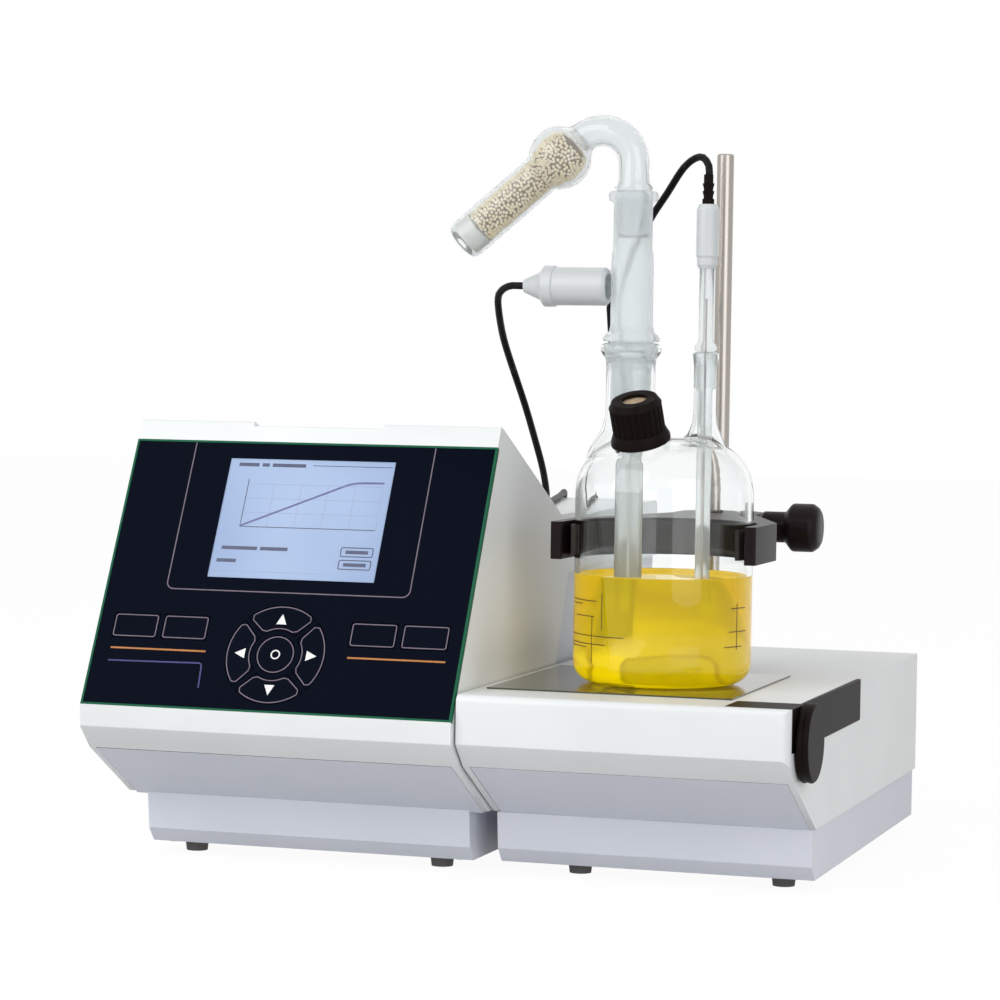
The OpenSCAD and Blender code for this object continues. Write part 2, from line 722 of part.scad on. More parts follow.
module stirrer_screws() color("silver") at_stirrer() for (p = stirrer_posts) base_screw(p, board_z + 10);

// --- stand -------------------------------------------------------------------------------

module at_rod() at_cell() translate([0, rod_back, 0]) children();

module stand_rod() color("gainsboro") at_rod() translate([0, 0, -cell_z]) {
  low = stirrer_h - wall - 12;
  translate([0, 0, low]) cylinder(r = rod_r, h = rod_top - low - 0.6);
  translate([0, 0, rod_top - 0.6 - eps]) cylinder(r1 = rod_r, r2 = rod_r - 0.6, h = 0.6 + eps);
}

// Split sleeve that slides on the rod; the clamp turns on it
module sleeve() difference() {
  ring(rod_r + run + sleeve_t, rod_r + run, clamp_h + 3);
  translate([0, -0.5, -1]) cube([20, 1, clamp_h + 5]);
}

module rod_sleeve() color("dimgray") at_rod() translate([0, 0, clamp_z - 2]) {
  rotate(-90) sleeve();
  difference() {
    ring(rod_r + run + sleeve_t + 2, rod_r + run, 2 - 0.3);
    translate([-0.5, -20, -1]) cube([1, 20, 5]);
  }
}

sleeve_out = rod_r + run + sleeve_t;

module vessel_clamp() color("black") at_cell() translate([0, 0, clamp_z]) difference() {
  linear_extrude(clamp_h) polygon(outline([
    [-fork_out, -fork_front, 1], [-fork_in, -fork_front, 1], [-fork_in, 0, 0], [fork_in, 0, 0],
    [fork_in, -fork_front, 1], [fork_out, -fork_front, 1], [fork_out, fork_front, 6],
    [boss_w, rod_back - 10, 5], [boss_w, rod_back + 10, 6], [boss_w / 2, rod_back + 20, 6],
    [-boss_w / 2, rod_back + 20, 6], [-boss_w, rod_back + 10, 6], [-boss_w, rod_back - 10, 5],
    [-fork_out, fork_front, 6]]));
  translate([0, 0, -1]) cylinder(r = fork_in, h = clamp_h + 2, $fn = 96);
  translate([0, rod_back, -1]) cylinder(r = sleeve_out + run, h = clamp_h + 2);
  translate([0, rod_back, clamp_h / 2 + knob_up]) rod_x(0, 40, screw_r + run);
}

module clamp_lining() color("saddlebrown") at_cell() translate([0, 0, clamp_z + 1.5]) difference() {
  ring(fork_in - seat, vessel_r + seat, clamp_h - 3, $fn = 96);
  translate([-50, -100 - 14, -1]) cube([100, 100, clamp_h]);
}

module clamp_knob() color("black") at_rod() translate([0, 0, clamp_z + clamp_h / 2 + knob_up]) {
  rod_x(sleeve_out + air, boss_w + 3, screw_r);
  face = boss_w + 1.7;
  rod_x(face, face + collar_l, collar_r);
  translate([face + collar_l - eps, 0, 0]) rotate([0, 90, 0]) rotate_extrude() polygon([
    [0, 0], [collar_r, 0], [knob_r - 0.6, 2.4], [knob_r, 3.2], [knob_r, knob_l - 3], [knob_r - 1.6, knob_l - 0.8],
    [knob_r - 3, knob_l], [0, knob_l]]);
}

// --- vessel ------------------------------------------------------------------------------

// Half outline of the vessel body, with its wall moved in by t
function body_half(t) = concat(
  [[0, t]],
  arc([vessel_r - foot_corner, foot_corner], foot_corner - t, -90, 0, 8),
  arc([vessel_r - shoulder_r, shoulder_z - shoulder_r], shoulder_r - t, 0, 90, 14),
  [[0, shoulder_z - t]]);

module on_port() rotate(port_turn)
  translate([0, -(vessel_r - shoulder_r) - shoulder_r * sin(port_lean), shoulder_z - shoulder_r + shoulder_r * cos(port_lean)])
  rotate([port_lean, 0, 0]) children();

module titration_vessel() color("azure", 0.4) at_cell() difference() {
  union() {
    rotate_extrude($fn = 96) polygon(body_half(0));
    translate([neck_x, 0, shoulder_z - 12]) cylinder(r = neck_r, h = neck_z - shoulder_z + 12);
    translate([neck_x, 0, neck_z - rim_h]) rim(rim_r, neck_r - 0.5, rim_h);
    translate([side_x, 0, shoulder_z - 8]) cylinder(r = side_r, h = side_z - shoulder_z + 8);
    translate([side_x, 0, side_z - 4]) rim(side_r + 1, side_r - 0.5, 4);
    on_port() translate([0, 0, -6]) cylinder(r = port_r, h = port_l + 6);
  }
  rotate_extrude($fn = 96) polygon(body_half(glass_t));
  translate([neck_x, 0, shoulder_z - 14]) cylinder(r = neck_in, h = 80);
  translate([side_x, 0, shoulder_z - 14]) cylinder(r = side_in, h = 80);
  on_port() translate([0, 0, -10]) cylinder(r = port_r - 1.6, h = 40);
}

// Rounded rim round a neck
module rim(r, r_in, h) rotate_extrude() polygon(concat([[r_in, 0]], arc([r - h / 3, h / 3], h / 3, -90, 0, 4),
  arc([r - h / 3, h * 2 / 3], h / 3, 0, 90, 4), [[r_in, h]]));

module electrolyte() color("gold", 0.8) at_cell() difference() {
  intersection() {
    rotate_extrude($fn = 96) polygon(body_half(glass_t + seat));
    translate([0, 0, -1]) cylinder(r = vessel_r + 1, h = fill_z + 1);
  }
  translate([0, 0, glass_t - 1]) cylinder(r = bar_l / 2 + 1.5, h = 9);
  translate([neck_x, 0, inner_z - 1]) cylinder(r = inner_r + seat, h = fill_z);
  translate([side_x, 0, shaft_z - 6]) cylinder(r = shaft_out + seat, h = fill_z);
}

bar_r = 3;

module stirring_bar() color("white") at_cell() translate([0, 0, glass_t + 0.75 + bar_r]) {
  rod_x(-bar_l / 2 + 1.5, bar_l / 2 - 1.5, bar_r);
  for (s = [-1, 1]) translate([s * (bar_l / 2 - 1.5), 0, 0]) rotate([0, s * 90, 0])
    cylinder(r1 = bar_r, r2 = bar_r - 1.5, h = 1.5);
  rod_x(-1.2, 1.2, bar_r + 0.35);
}

cap_ribs = 24;

// Outline of the ribbed cap
function cap_outline() = [for (i = [0:4 * cap_ribs - 1])
  let (a = i * 90 / cap_ribs, r = cap_r - (i % 4 < 2 ? 0.1 : 0.8)) r * [cos(a), sin(a)]];

module septum_cap() color("black") at_cell() on_port() difference() {
  union() {
    translate([0, 0, cap_z + 2]) linear_extrude(cap_l - 4) polygon(cap_outline());
    rotate_extrude() polygon([
      [0, cap_z], [cap_r + cap_flare, cap_z], [cap_r + cap_flare, cap_z + 1.5], [cap_r, cap_z + 4.5],
      [cap_r - 1.2, cap_z + 5], [cap_r - 1.2, cap_z + cap_l - 3], [cap_r + 0.05, cap_z + cap_l - 2.5],
      [cap_r - 1.4, cap_z + cap_l], [0, cap_z + cap_l]]);
  }
  translate([0, 0, -1]) cylinder(r = port_r + air, h = port_l + septum_t + air + 1);
  translate([0, 0, port_l - 1]) cylinder(r = needle_r, h = 30);
}

module septum() color("tan") at_cell() on_port() translate([0, 0, port_l]) cylinder(r = port_r - 0.1, h = septum_t);

// --- generator electrode ------------------------------------------------------------------

module at_neck() at_cell() translate([neck_x, 0, 0]) children();

module generator_tube() color("azure", 0.4) at_neck() difference() {
  union() {
    rotate_extrude() polygon([
      [0, inner_z + 2], [inner_r, inner_z + 2], [inner_r, 100], [neck_in - seat, 106], [neck_in - seat, neck_z],
      [tube_r, neck_z], [tube_r, tube_top - 3], [socket_r, tube_top], [socket_r, socket_top], [0, socket_top]]);
    translate([0, 0, socket_top - 4.5]) rim(9.7, socket_r - 0.5, 4.5);
    translate([0, 0, arm_z]) rod_x(arm_end, 0, arm_r);
  }
  rotate_extrude() polygon([
    [0, inner_z + 2 - eps], [inner_r - inner_t, inner_z + 2 - eps], [inner_r - inner_t, 101], [tube_in, 108],
    [tube_in, socket_top + 1], [0, socket_top + 1]]);
  translate([0, 0, arm_z]) rod_x(arm_end - 1, 0, arm_r - 1.2);
}

module generator_diaphragm() color("silver") at_neck() {
  translate([0, 0, inner_z]) cylinder(r = inner_r, h = 2);
  translate([0, 0, inner_z + 2 - eps]) cylinder(r = inner_r - inner_t - seat, h = 4);
  translate([0, 0, inner_z + 5]) cylinder(r = 0.6, h = 75, $fn = 24);
}

module generator_head() color("ghostwhite") at_neck() translate([0, 0, arm_z]) rotate([0, -90, 0]) difference() {
  rotate_extrude() polygon([
    [0, -arm_end], [arm_r + seat, -arm_end], [arm_r + seat, tube_r + 1.4], [head_r - 0.8, tube_r + 1.4],
    [head_r, tube_r + 2.4], [head_r, -head_end - 5.4], [head_r + 0.6, -head_end - 5], [head_r + 0.6, -head_end - 1],
    [head_r - 0.6, -head_end], [6, -head_end], [2.6, -tip_end], [0, -tip_end]]);
  translate([0, 0, -tip_end - 4]) cylinder(r = cable_r + air, h = 6, $fn = 32);
}

// --- drying tube ---------------------------------------------------------------------------

module on_bend() at_neck() translate([-bend_r, 0, bend_z]) rotate([90, 0, 0]) children();

// Frame along the falling arm: Z runs down the tube from the end of the bend
module on_arm() at_neck()
  translate([-bend_r + bend_r * cos(bend_turn), 0, bend_z + bend_r * sin(bend_turn)])
  rotate([0, -bend_turn, 0]) children();

// Straight length of radius r, bulb and barrel of the arm as one solid, with the glass moved in by t.
// It starts a little before the end of the bend, where it is fused on.
module arm_form(t, r) {
  translate([0, 0, -fuse_l - t]) cylinder(r = r, h = bulb_out + fuse_l + t);
  translate([0, 0, bulb_out]) sphere(r = bulb_r - t);
  translate([0, 0, bulb_out]) cylinder(r = barrel_r - t, h = dry_l - 3);
}

// Upright stem with its plug and rim, then the bend, then the arm, each hollow
module drying_tube() color("azure", 0.4) {
  at_neck() difference() {
    union() {
      translate([0, 0, socket_top - plug_in]) cylinder(r = tube_in - run, h = plug_in + 1);
      translate([0, 0, socket_top + 0.3]) rim(7.6, dry_tube_r - 0.5, 2.4);
      translate([0, 0, socket_top]) cylinder(r = dry_tube_r, h = bend_z - socket_top);
    }
    translate([0, 0, socket_top - plug_in - 1]) cylinder(r = dry_in, h = bend_z - socket_top + plug_in + 2);
  }
  on_bend() rotate_extrude(angle = bend_turn, $fn = 72) translate([bend_r, 0]) difference() {
    circle(r = dry_tube_r, $fn = 48);
    circle(r = dry_in, $fn = 48);
  }
  on_arm() difference() {
    union() {
      arm_form(0, dry_tube_r + fuse_t);
      translate([0, 0, bulb_out + dry_l - 3]) rotate_extrude() polygon(concat(
        [[0, 0]], arc([barrel_r - 3, 0], 3, 0, 90, 6), [[0, 3]]));
    }
    arm_form(barrel_t, dry_in - fuse_t);
    translate([0, 0, bulb_out + dry_l - 5]) cylinder(r = barrel_r - 3.3, h = 9);
  }
}

module desiccant() color("burlywood") on_arm() {
  translate([0, 0, bulb_out]) difference() {
    sphere(r = bulb_r - barrel_t - seat);
    translate([0, 0, -8 - bulb_r]) cube(2 * bulb_r, center = true);
  }
  translate([0, 0, bulb_out + 4]) cylinder(r = barrel_r - barrel_t - seat, h = dry_l - cotton_l - 7.4);
}

module cotton_plugs() color("white") on_arm() {
  translate([0, 0, bulb_out + dry_l - cotton_l - 3.4 + seat]) cylinder(r = barrel_r - barrel_t - seat, h = cotton_l);
  translate([0, 0, seat]) cylinder(r = dry_in - fuse_t - seat, h = 2);
}

// --- indicator electrode ---------------------------------------------------------------------

module at_side() at_cell() translate([side_x, 0, 0]) children();

module indicator_shaft() color("azure", 0.4) at_side() rotate_extrude() polygon([
  [0, shaft_z], [shaft_out, shaft_z], [shaft_out, side_z - 16], [side_in - seat, side_z - 14],
  [side_in - seat, side_z], [side_r - 0.2, side_z], [side_r - 0.2, side_z + 2], [shaft_out, side_z + 4],
  [shaft_out, ind_head_z], [0, ind_head_z]]);

module indicator_pins() color("silver") at_side()
  for (s = [-1, 1]) translate([s * 1.3, 0, shaft_z - 5]) cylinder(r = 0.4, h = 5, $fn = 24);

module indicator_head() color("ghostwhite") at_side() rotate_extrude() polygon([
  [0, ind_head_z], [shaft_out + 0.4, ind_head_z], [ind_head_r - 0.4, ind_head_z + 1.5],
  [ind_head_r - 0.4, ind_head_z + 4], [ind_head_r, ind_head_z + 5], [ind_head_r, ind_head_z + ind_head_l - 2],
  [ind_head_r - 1, ind_head_z + ind_head_l], [0, ind_head_z + ind_head_l]]);

module indicator_relief() color("black") at_side() translate([0, 0, ind_head_z + ind_head_l]) difference() {
  rotate_extrude() polygon(concat([[0, 0], [relief_r, 0]],
    [for (i = [0:2]) each [[relief_r, 3 * i + 2], [relief_r - 0.5, 3 * i + 2.2], [relief_r - 0.5, 3 * i + 3]]],
    [[relief_r - 0.5, relief_l], [0, relief_l]]));
  translate([0, 0, relief_l - 3]) cylinder(r = cable_r + air - 0.1, h = 4, $fn = 32);
}

// --- cables ------------------------------------------------------------------------------------

// Smooth route through chosen points, n steps to a stretch
function between(p, i, t) =
  let (m = len(p) - 1, a = p[max(i - 1, 0)], b = p[i], c = p[i + 1], d = p[min(i + 2, m)])
  0.5 * (2 * b + (c - a) * t + (2 * a - 5 * b + 4 * c - d) * t * t + (3 * b - a - 3 * c + d) * t * t * t);

function smooth(p, n) = concat([for (i = [0:len(p) - 2], k = [0:n - 1]) between(p, i, k / n)], [p[len(p) - 1]]);

function directions(p) = [for (i = [0:len(p) - 1]) unit(p[min(i + 1, len(p) - 1)] - p[max(i - 1, 0)])];

function level(v, d) = unit(v - d * (v * d));

// Tube of radius r along the route, its rings carried without twist
module tube(route, r, n = 2, sides = 8) {
  p = smooth(route, n);
  d = directions(p);
  side = [for (i = 0, v = level([0, 1, 0.2], d[0]); i < len(p); i = i + 1, v = i < len(p) ? level(v, d[i]) : v) v];
  points = [for (i = [0:len(p) - 1], k = [0:sides - 1])
    let (a = 360 * k / sides) p[i] + r * (cos(a) * side[i] + sin(a) * cross(d[i], side[i]))];
  last = (len(p) - 1) * sides;
  polyhedron(points, concat(
    [[for (k = [0:sides - 1]) k]],
    [for (i = [0:len(p) - 2], k = [0:sides - 1])
      [i * sides + k, (i + 1) * sides + k, (i + 1) * sides + (k + 1) % sides, i * sides + (k + 1) % sides]],
    [[for (k = [sides - 1:-1:0]) last + k]]));
}

// Wound spare length: two turns wide and two high
module coil(x, y) translate([x, y, 0]) rotate_extrude()
  translate([coil_mid - 2 * cable_r, 0]) square([4 * cable_r, 4 * cable_r]);

generator_route = [
  [14, -71.5, 231.5], [9, -71.2, 231.6], [5, -69.5, 231.5], [1, -66.5, 230], [-2, -62.5, 227], [-4, -54.5, 220],
  [-6, -41.5, 210], [-6, -28.5, 198], [-5, -14.5, 183], [-5, -0.5, 169], [-5, 11.5, 156], [-7, 24, 145],
  [-11, 36, 140.4], [-16, 58, 139.8], [-22, 85, 139.8], [-28, 112, 139.8], [-32, 130, 140.2], [-34, 140, 140.6],
  [-36, 146.5, 137.5], [-37.5, 148.5, 128], [-39, 150, 112], [-40, 152, 92], [-40, 152, 60], [-41, 153, 25], [-46, 156, 6], [-56, 160, 1.5], [-67, 169, 1.5]];
gen_coil_at = [-84, 182];
generator_rise = [
  [-105.5, 183, 1.5], [-111, 185, 4], [-116, 189, 16], [-117, 192, 34], [-116.5, 189, 52], [-116.5, 183, 66], [-116.3, 172, 70]];

module generator_cable() color("black") {
  tube(generator_route, cable_r);
  tube(generator_rise, cable_r);
}

module generator_coil() color("black") coil(gen_coil_at[0], gen_coil_at[1]);

indicator_route = [
  [86.2, -71.5, 273.5], [86.2, -71.5, 278.5], [82, -68, 282.5], [74, -62, 279], [65, -54, 269], [56, -47, 258.5],
  [45, -38, 242], [35.5, -31, 224], [35, -22, 200], [37, -13, 172], [38, -4, 142], [37, 5, 112],
  [34, 14, 92], [31, 28, 80], [30, 50, 78], [32, 80, 78], [35, 98, 78], [36, 106, 78.2], [37, 112, 75],
  [38, 114, 62], [38, 115.5, 36], [39, 118, 12], [42, 126, 2.5], [45.5, 137.4, 1.5]];
ind_coil_at = [56, 157];
indicator_rise = [
  [34, 162.6, 1.5], [10, 180, 1.5], [-30, 206, 1.5], [-70, 216, 1.5], [-86, 213, 5], [-92, 205, 18], [-92.5, 198, 36],
  [-92.5, 190, 54], [-92.4, 182, 66], [-92.3, 172, 70]];

module indicator_cable() color("black") {
  tube(indicator_route, cable_r);
  tube(indicator_rise, cable_r);
}

module indicator_coil() color("black") coil(ind_coil_at[0], ind_coil_at[1]);

// Cable plug in a rear socket
module rear_plug(x) at_titrator() translate([x, titrator_d + socket_out, plug_z]) rotate([-90, 0, 0]) difference() {
  rotate_extrude() polygon([
    [0, 0], [plug_r + 1, 0], [plug_r + 1, 8], [plug_r, 9], [plug_r, plug_l - 8], [cable_r + 1.4, plug_l], [0, plug_l]]);
  translate([0, 0, plug_l - 4]) cylinder(r = cable_r + 0.3, h = 6, $fn = 32);
}

module generator_plug() color("black") rear_plug(gen_plug_x);

module indicator_plug() color("dimgray") rear_plug(ind_plug_x);

titrator_cover();
titrator_chassis();
titrator_base_plate();
operating_panel();
display_pane();
display_module();
keypad_board();
key_mode();
key_edit();
key_esc();
key_start();
key_up();
key_down();
key_left();
key_right();
key_ok();
main_board();
generator_board();
rear_sockets();
power_switch();
titrator_feet();
titrator_screws();
stirrer_cover();
stirrer_chassis();
stirrer_base_plate();
vessel_plate();
control_insert();
speed_wheel();
speed_potentiometer();
stirrer_motor();
magnet_rotor();
rod_socket();
stirrer_feet();
stirrer_screws();
stand_rod();
rod_sleeve();
vessel_clamp();
clamp_lining();
clamp_knob();
titration_vessel();
electrolyte();
stirring_bar();
septum_cap();
septum();
generator_tube();
generator_diaphragm();
generator_head();
drying_tube();
desiccant();
cotton_plugs();
indicator_shaft();
indicator_pins();
indicator_head();
indicator_relief();
generator_cable();
generator_coil();
indicator_cable();
indicator_coil();
generator_plug();
indicator_plug();
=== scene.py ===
import json
import bpy
import bmesh
import numpy as np
from mathutils import Matrix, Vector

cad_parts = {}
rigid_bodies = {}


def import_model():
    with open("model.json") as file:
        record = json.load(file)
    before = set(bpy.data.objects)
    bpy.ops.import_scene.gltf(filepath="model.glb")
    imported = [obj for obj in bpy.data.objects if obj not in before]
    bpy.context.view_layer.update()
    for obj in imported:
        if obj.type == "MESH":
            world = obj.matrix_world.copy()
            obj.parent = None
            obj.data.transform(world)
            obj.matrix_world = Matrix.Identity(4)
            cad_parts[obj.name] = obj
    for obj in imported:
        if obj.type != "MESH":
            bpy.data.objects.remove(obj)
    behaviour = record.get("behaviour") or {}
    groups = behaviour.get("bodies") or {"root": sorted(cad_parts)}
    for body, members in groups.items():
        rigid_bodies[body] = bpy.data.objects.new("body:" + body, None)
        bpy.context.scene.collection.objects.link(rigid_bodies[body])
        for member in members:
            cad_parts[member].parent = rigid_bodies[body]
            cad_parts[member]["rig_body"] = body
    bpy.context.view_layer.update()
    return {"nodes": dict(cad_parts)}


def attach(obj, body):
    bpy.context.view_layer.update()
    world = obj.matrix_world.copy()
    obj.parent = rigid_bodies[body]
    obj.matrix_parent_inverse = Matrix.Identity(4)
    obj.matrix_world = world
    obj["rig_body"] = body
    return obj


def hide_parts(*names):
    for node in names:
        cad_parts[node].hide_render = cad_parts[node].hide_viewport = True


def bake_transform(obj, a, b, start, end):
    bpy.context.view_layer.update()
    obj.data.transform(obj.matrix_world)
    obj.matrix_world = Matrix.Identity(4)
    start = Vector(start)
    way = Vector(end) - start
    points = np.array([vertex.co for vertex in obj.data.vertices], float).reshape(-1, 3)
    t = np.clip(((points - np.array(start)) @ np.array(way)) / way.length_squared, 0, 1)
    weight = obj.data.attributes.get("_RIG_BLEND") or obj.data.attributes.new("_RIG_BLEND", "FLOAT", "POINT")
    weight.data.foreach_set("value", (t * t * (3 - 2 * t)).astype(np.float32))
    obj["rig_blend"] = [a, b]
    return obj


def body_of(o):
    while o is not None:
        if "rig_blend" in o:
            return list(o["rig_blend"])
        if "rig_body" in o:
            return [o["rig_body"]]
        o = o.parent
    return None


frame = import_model()
print("frame loaded")

mm = 0.001
nodes = frame["nodes"]

# where the named places of the device lie, in millimetres; the necks are counted from the cell's axis
place = {
    "panelLeft": -144.25, "panelFront": -146.5, "panelFoot": 65.6, "panelLean": 27.5,
    "panelWidth": 153.0, "panelLength": 115.5,
    "cell": (70.55, -71.5, 76.9), "neckX": -14.5, "sideX": 15.6,
}


def linear(hexText):
    # sRGB hex to linear light
    c = np.array([int(hexText[i:i + 2], 16) for i in (0, 2, 4)]) / 255
    return (*np.where(c <= 0.04045, c / 12.92, ((c + 0.055) / 1.055) ** 2.4).tolist(), 1.0)


def addNode(tree, kind, settings=None, links=None):
    # one node, its settings and what goes into its sockets
    made = tree.nodes.new(kind)
    for key, value in (settings or {}).items():
        if isinstance(key, str) and hasattr(made, key):
            setattr(made, key, value)
        else:
            made.inputs[key].default_value = value
    for key, source in (links or {}).items():
        tree.links.new(source, made.inputs[key])
    return made


def newMaterial(name, base, rough=0.5, **more):
    # a principled surface with its plain values on the shader's own sockets
    made = bpy.data.materials.new(name)
    made.use_nodes = True
    tree = made.node_tree
    shader = tree.nodes["Principled BSDF"]
    shader.inputs["Base Color"].default_value = linear(base)
    shader.inputs["Roughness"].default_value = rough
    for key, value in more.items():
        shader.inputs[key.replace("_", " ")].default_value = value
    return made, tree, shader


def objectNoise(tree, scale, detail):
    # noise over the piece's own coordinates; the scale counts its grains to the metre
    where = addNode(tree, "ShaderNodeTexCoord")
    return addNode(tree, "ShaderNodeTexNoise", {"Scale": scale, "Detail": detail},
                   {"Vector": where.outputs["Object"]})


def bumpInto(tree, shader, noise, depthMm, strength):
    # the noise taken as height, so deep at most
    bump = addNode(tree, "ShaderNodeBump", {"Distance": depthMm * mm, "Strength": strength},
                   {"Height": noise.outputs["Fac"]})
    tree.links.new(bump.outputs["Normal"], shader.inputs["Normal"])


def driftInto(tree, shader, noise, low, high, span):
    # slow drift between two near colours, within the given span of the noise
    ramp = addNode(tree, "ShaderNodeValToRGB", None, {"Fac": noise.outputs["Fac"]})
    ends = ramp.color_ramp.elements
    ends[0].position, ends[1].position = span
    ends[0].color, ends[1].color = linear(low), linear(high)
    tree.links.new(ramp.outputs["Color"], shader.inputs["Base Color"])


def finish(name, base, rough, drift=None, grain=None, glow=None, **more):
    # a material; drift is (low colour, high colour, size in mm), grain is (size in mm, depth in mm, detail)
    made, tree, shader = newMaterial(name, base, rough, **more)
    if glow:
        shader.inputs["Emission Color"].default_value = linear(glow)
    if drift:
        low, high, size = drift
        driftInto(tree, shader, objectNoise(tree, 1 / (size * mm), 2.0), low, high, (0.35, 0.65))
    if grain:
        size, depth, detail = (*grain, 3.0)[:3]
        bumpInto(tree, shader, objectNoise(tree, 1 / (size * mm), detail), depth, 0.6)
    return made


# camera: place in mm, turns in degrees, focal length in pixels of the render's width, far end in metres
eye = {"at": (406.35, -1325.8, 208.1), "azimuth": 17.83, "elevation": 2.68, "roll": 0.83,
       "focal": 3315.5, "pixels": 1000, "sensor": 36, "farEnd": 20}


def placeCamera():
    # looks along (-sin az cos el, cos az cos el, -sin el), rolled about that line
    az, el, roll = np.radians([eye["azimuth"], eye["elevation"], eye["roll"]])
    ahead = np.array([-np.sin(az) * np.cos(el), np.cos(az) * np.cos(el), -np.sin(el)])
    right = np.array([np.cos(az), np.sin(az), 0])
    up = np.cross(right, ahead)
    right, up = right * np.cos(roll) + up * np.sin(roll), up * np.cos(roll) - right * np.sin(roll)
    data = bpy.data.cameras.new("camera")
    data.sensor_width = eye["sensor"]
    data.lens = eye["focal"] * eye["sensor"] / eye["pixels"]
    data.clip_end = eye["farEnd"]
    camera = bpy.data.objects.new("camera", data)
    camera.matrix_world = Matrix([[right[i], up[i], -ahead[i], eye["at"][i] * mm] for i in range(3)]
                                 + [[0, 0, 0, 1]])
    bpy.context.scene.collection.objects.link(camera)
    bpy.context.scene.camera = camera


placeCamera()
print("camera placed")


def meshPiece(name, points, faces, material, smooth=True):
    # points in millimetres become a mesh whose object stays at the origin
    mesh = bpy.data.meshes.new(name)
    mesh.from_pydata((np.asarray(points) * mm).tolist(), [], faces)
    mesh.validate()
    if smooth:
        mesh.polygons.foreach_set("use_smooth", np.ones(len(mesh.polygons), bool))
    mesh.materials.append(material)
    made = bpy.data.objects.new(name, mesh)
    bpy.context.scene.collection.objects.link(made)
    return made


def gridFaces(rows, columns, closeRows=False, closeColumns=True):
    # quads of a rows by columns grid of points, each direction open or closed
    i, j = np.meshgrid(np.arange(rows if closeRows else rows - 1),
                       np.arange(columns if closeColumns else columns - 1), indexing="ij")
    a, b = i % rows * columns, (i + 1) % rows * columns
    c, d = j % columns, (j + 1) % columns
    return np.stack([a + c, b + c, b + d, a + d], -1).reshape(-1, 4).tolist()


def tubeGrid(path, radius, sides):
    # point(s, a) = path(s) + radius(s) (cos a side(s) + sin a up(s)), the frame carried without twist
    path = np.asarray(path, float)
    ahead = np.gradient(path, axis=0)
    ahead /= np.linalg.norm(ahead, axis=1, keepdims=True)
    side = np.zeros_like(path)
    first = np.array([0.13, 1, 0.21])  # a direction that no path here starts along
    for k in range(len(path)):
        first = first - ahead[k] * (first @ ahead[k])
        first = first / np.linalg.norm(first)
        side[k] = first
    up = np.cross(ahead, side)
    angle = np.linspace(0, 2 * np.pi, sides, endpoint=False)
    radius = np.broadcast_to(np.asarray(radius, float), (len(path),))
    ring = np.cos(angle)[None, :, None] * side[:, None] + np.sin(angle)[None, :, None] * up[:, None]
    return path[:, None] + radius[:, None, None] * ring


def outward(made):
    # doubles merged, then every face turned to look out
    work = bmesh.new()
    work.from_mesh(made.data)
    bmesh.ops.remove_doubles(work, verts=work.verts, dist=1e-6)
    bmesh.ops.recalc_face_normals(work, faces=work.faces)
    work.to_mesh(made.data)
    work.free()


def solidTube(name, path, radius, material, sides=16):
    # a round tube along the path, closed by a disc at each end
    grid = tubeGrid(path, radius, sides)
    rows = len(grid)
    faces = [f[::-1] for f in gridFaces(rows, sides)]
    faces += [list(range(sides))[::-1], [(rows - 1) * sides + k for k in range(sides)]]
    made = meshPiece(name, grid.reshape(-1, 3), faces, material)
    outward(made)
    return made


def splinePath(points, steps):
    # Catmull-Rom curve through the points
    p = np.asarray(points, float)
    before = np.vstack([p[:1], p[:-2]])
    after = np.vstack([p[2:], p[-1:]])
    t = np.arange(steps)[None, :, None] / steps
    a, b, c, d = before[:, None], p[:-1, None], p[1:, None], after[:, None]
    curve = 0.5 * (2 * b + (c - a) * t + (2 * a - 5 * b + 4 * c - d) * t ** 2
                   + (3 * b - a - 3 * c + d) * t ** 3)
    return np.vstack([curve.reshape(-1, 3), p[-1:]])


def pathLength(path):
    # sum of the path's straight steps
    return float(np.linalg.norm(np.diff(path, axis=0), axis=1).sum())


def smoothStep(x, low, high):
    # 0 below low, 1 above high, 3 t^2 - 2 t^3 between
    t = np.clip((x - low) / (high - low), 0, 1)
    return t * t * (3 - 2 * t)


# cable sheath: limp PVC, softly shining, with a faint extrusion grain
cableSheath = finish("cable sheath PVC", "101012", 0.42, grain=(1.5, 0.03), Specular_IOR_Level=0.12)

# both cables; the last three say between which degrees of a coil it closes in, climbs and opens out
cable = {"diameter": 2.9, "step": 2.5, "splitAt": 7, "shortest": 0.3, "floorGap": 0.05,
         "coilMiddle": 17.3, "pitch": 3.0, "turnSteps": 28,
         "closesIn": (300, 356), "climbs": (530, 650), "opensOut": (780, 850)}

# each cable: its way from the head, its coil behind the housings and its rise to the socket
generatorRun = {
    "route": [
        (14, -71.5, 231.5), (9, -71.2, 231.6), (5, -69.5, 231.5), (1, -66.5, 230), (-2, -62.5, 227),
        (-4, -54.5, 220), (-6, -41.5, 210), (-6, -28.5, 198), (-5, -14.5, 183), (-5, -0.5, 169),
        (-5, 11.5, 156), (-7, 24, 145), (-11, 36, 140.4), (-16, 58, 139.8), (-22, 85, 139.8),
        (-28, 112, 139.8), (-32, 130, 140.2), (-34, 140, 140.6), (-36, 146.5, 137.5), (-37.5, 148.5, 128),
        (-39, 150, 112), (-40, 152, 92), (-40, 152, 60), (-41, 153, 25), (-46, 156.5, 5),
        (-56, 160, 1.5), (-68, 161.1, 1.5)],
    "coilAt": (-84, 182), "coilStart": 265, "coilTurn": 1120,
    "rise": [
        (-104.4, 175.6, 4.3), (-110.5, 183, 6.5), (-115.5, 188.6, 16), (-117, 192, 34),
        (-116.5, 189, 52), (-116.5, 183, 66), (-116.3, 172, 70)],
    "landing": (-9, 32, 141.5)}
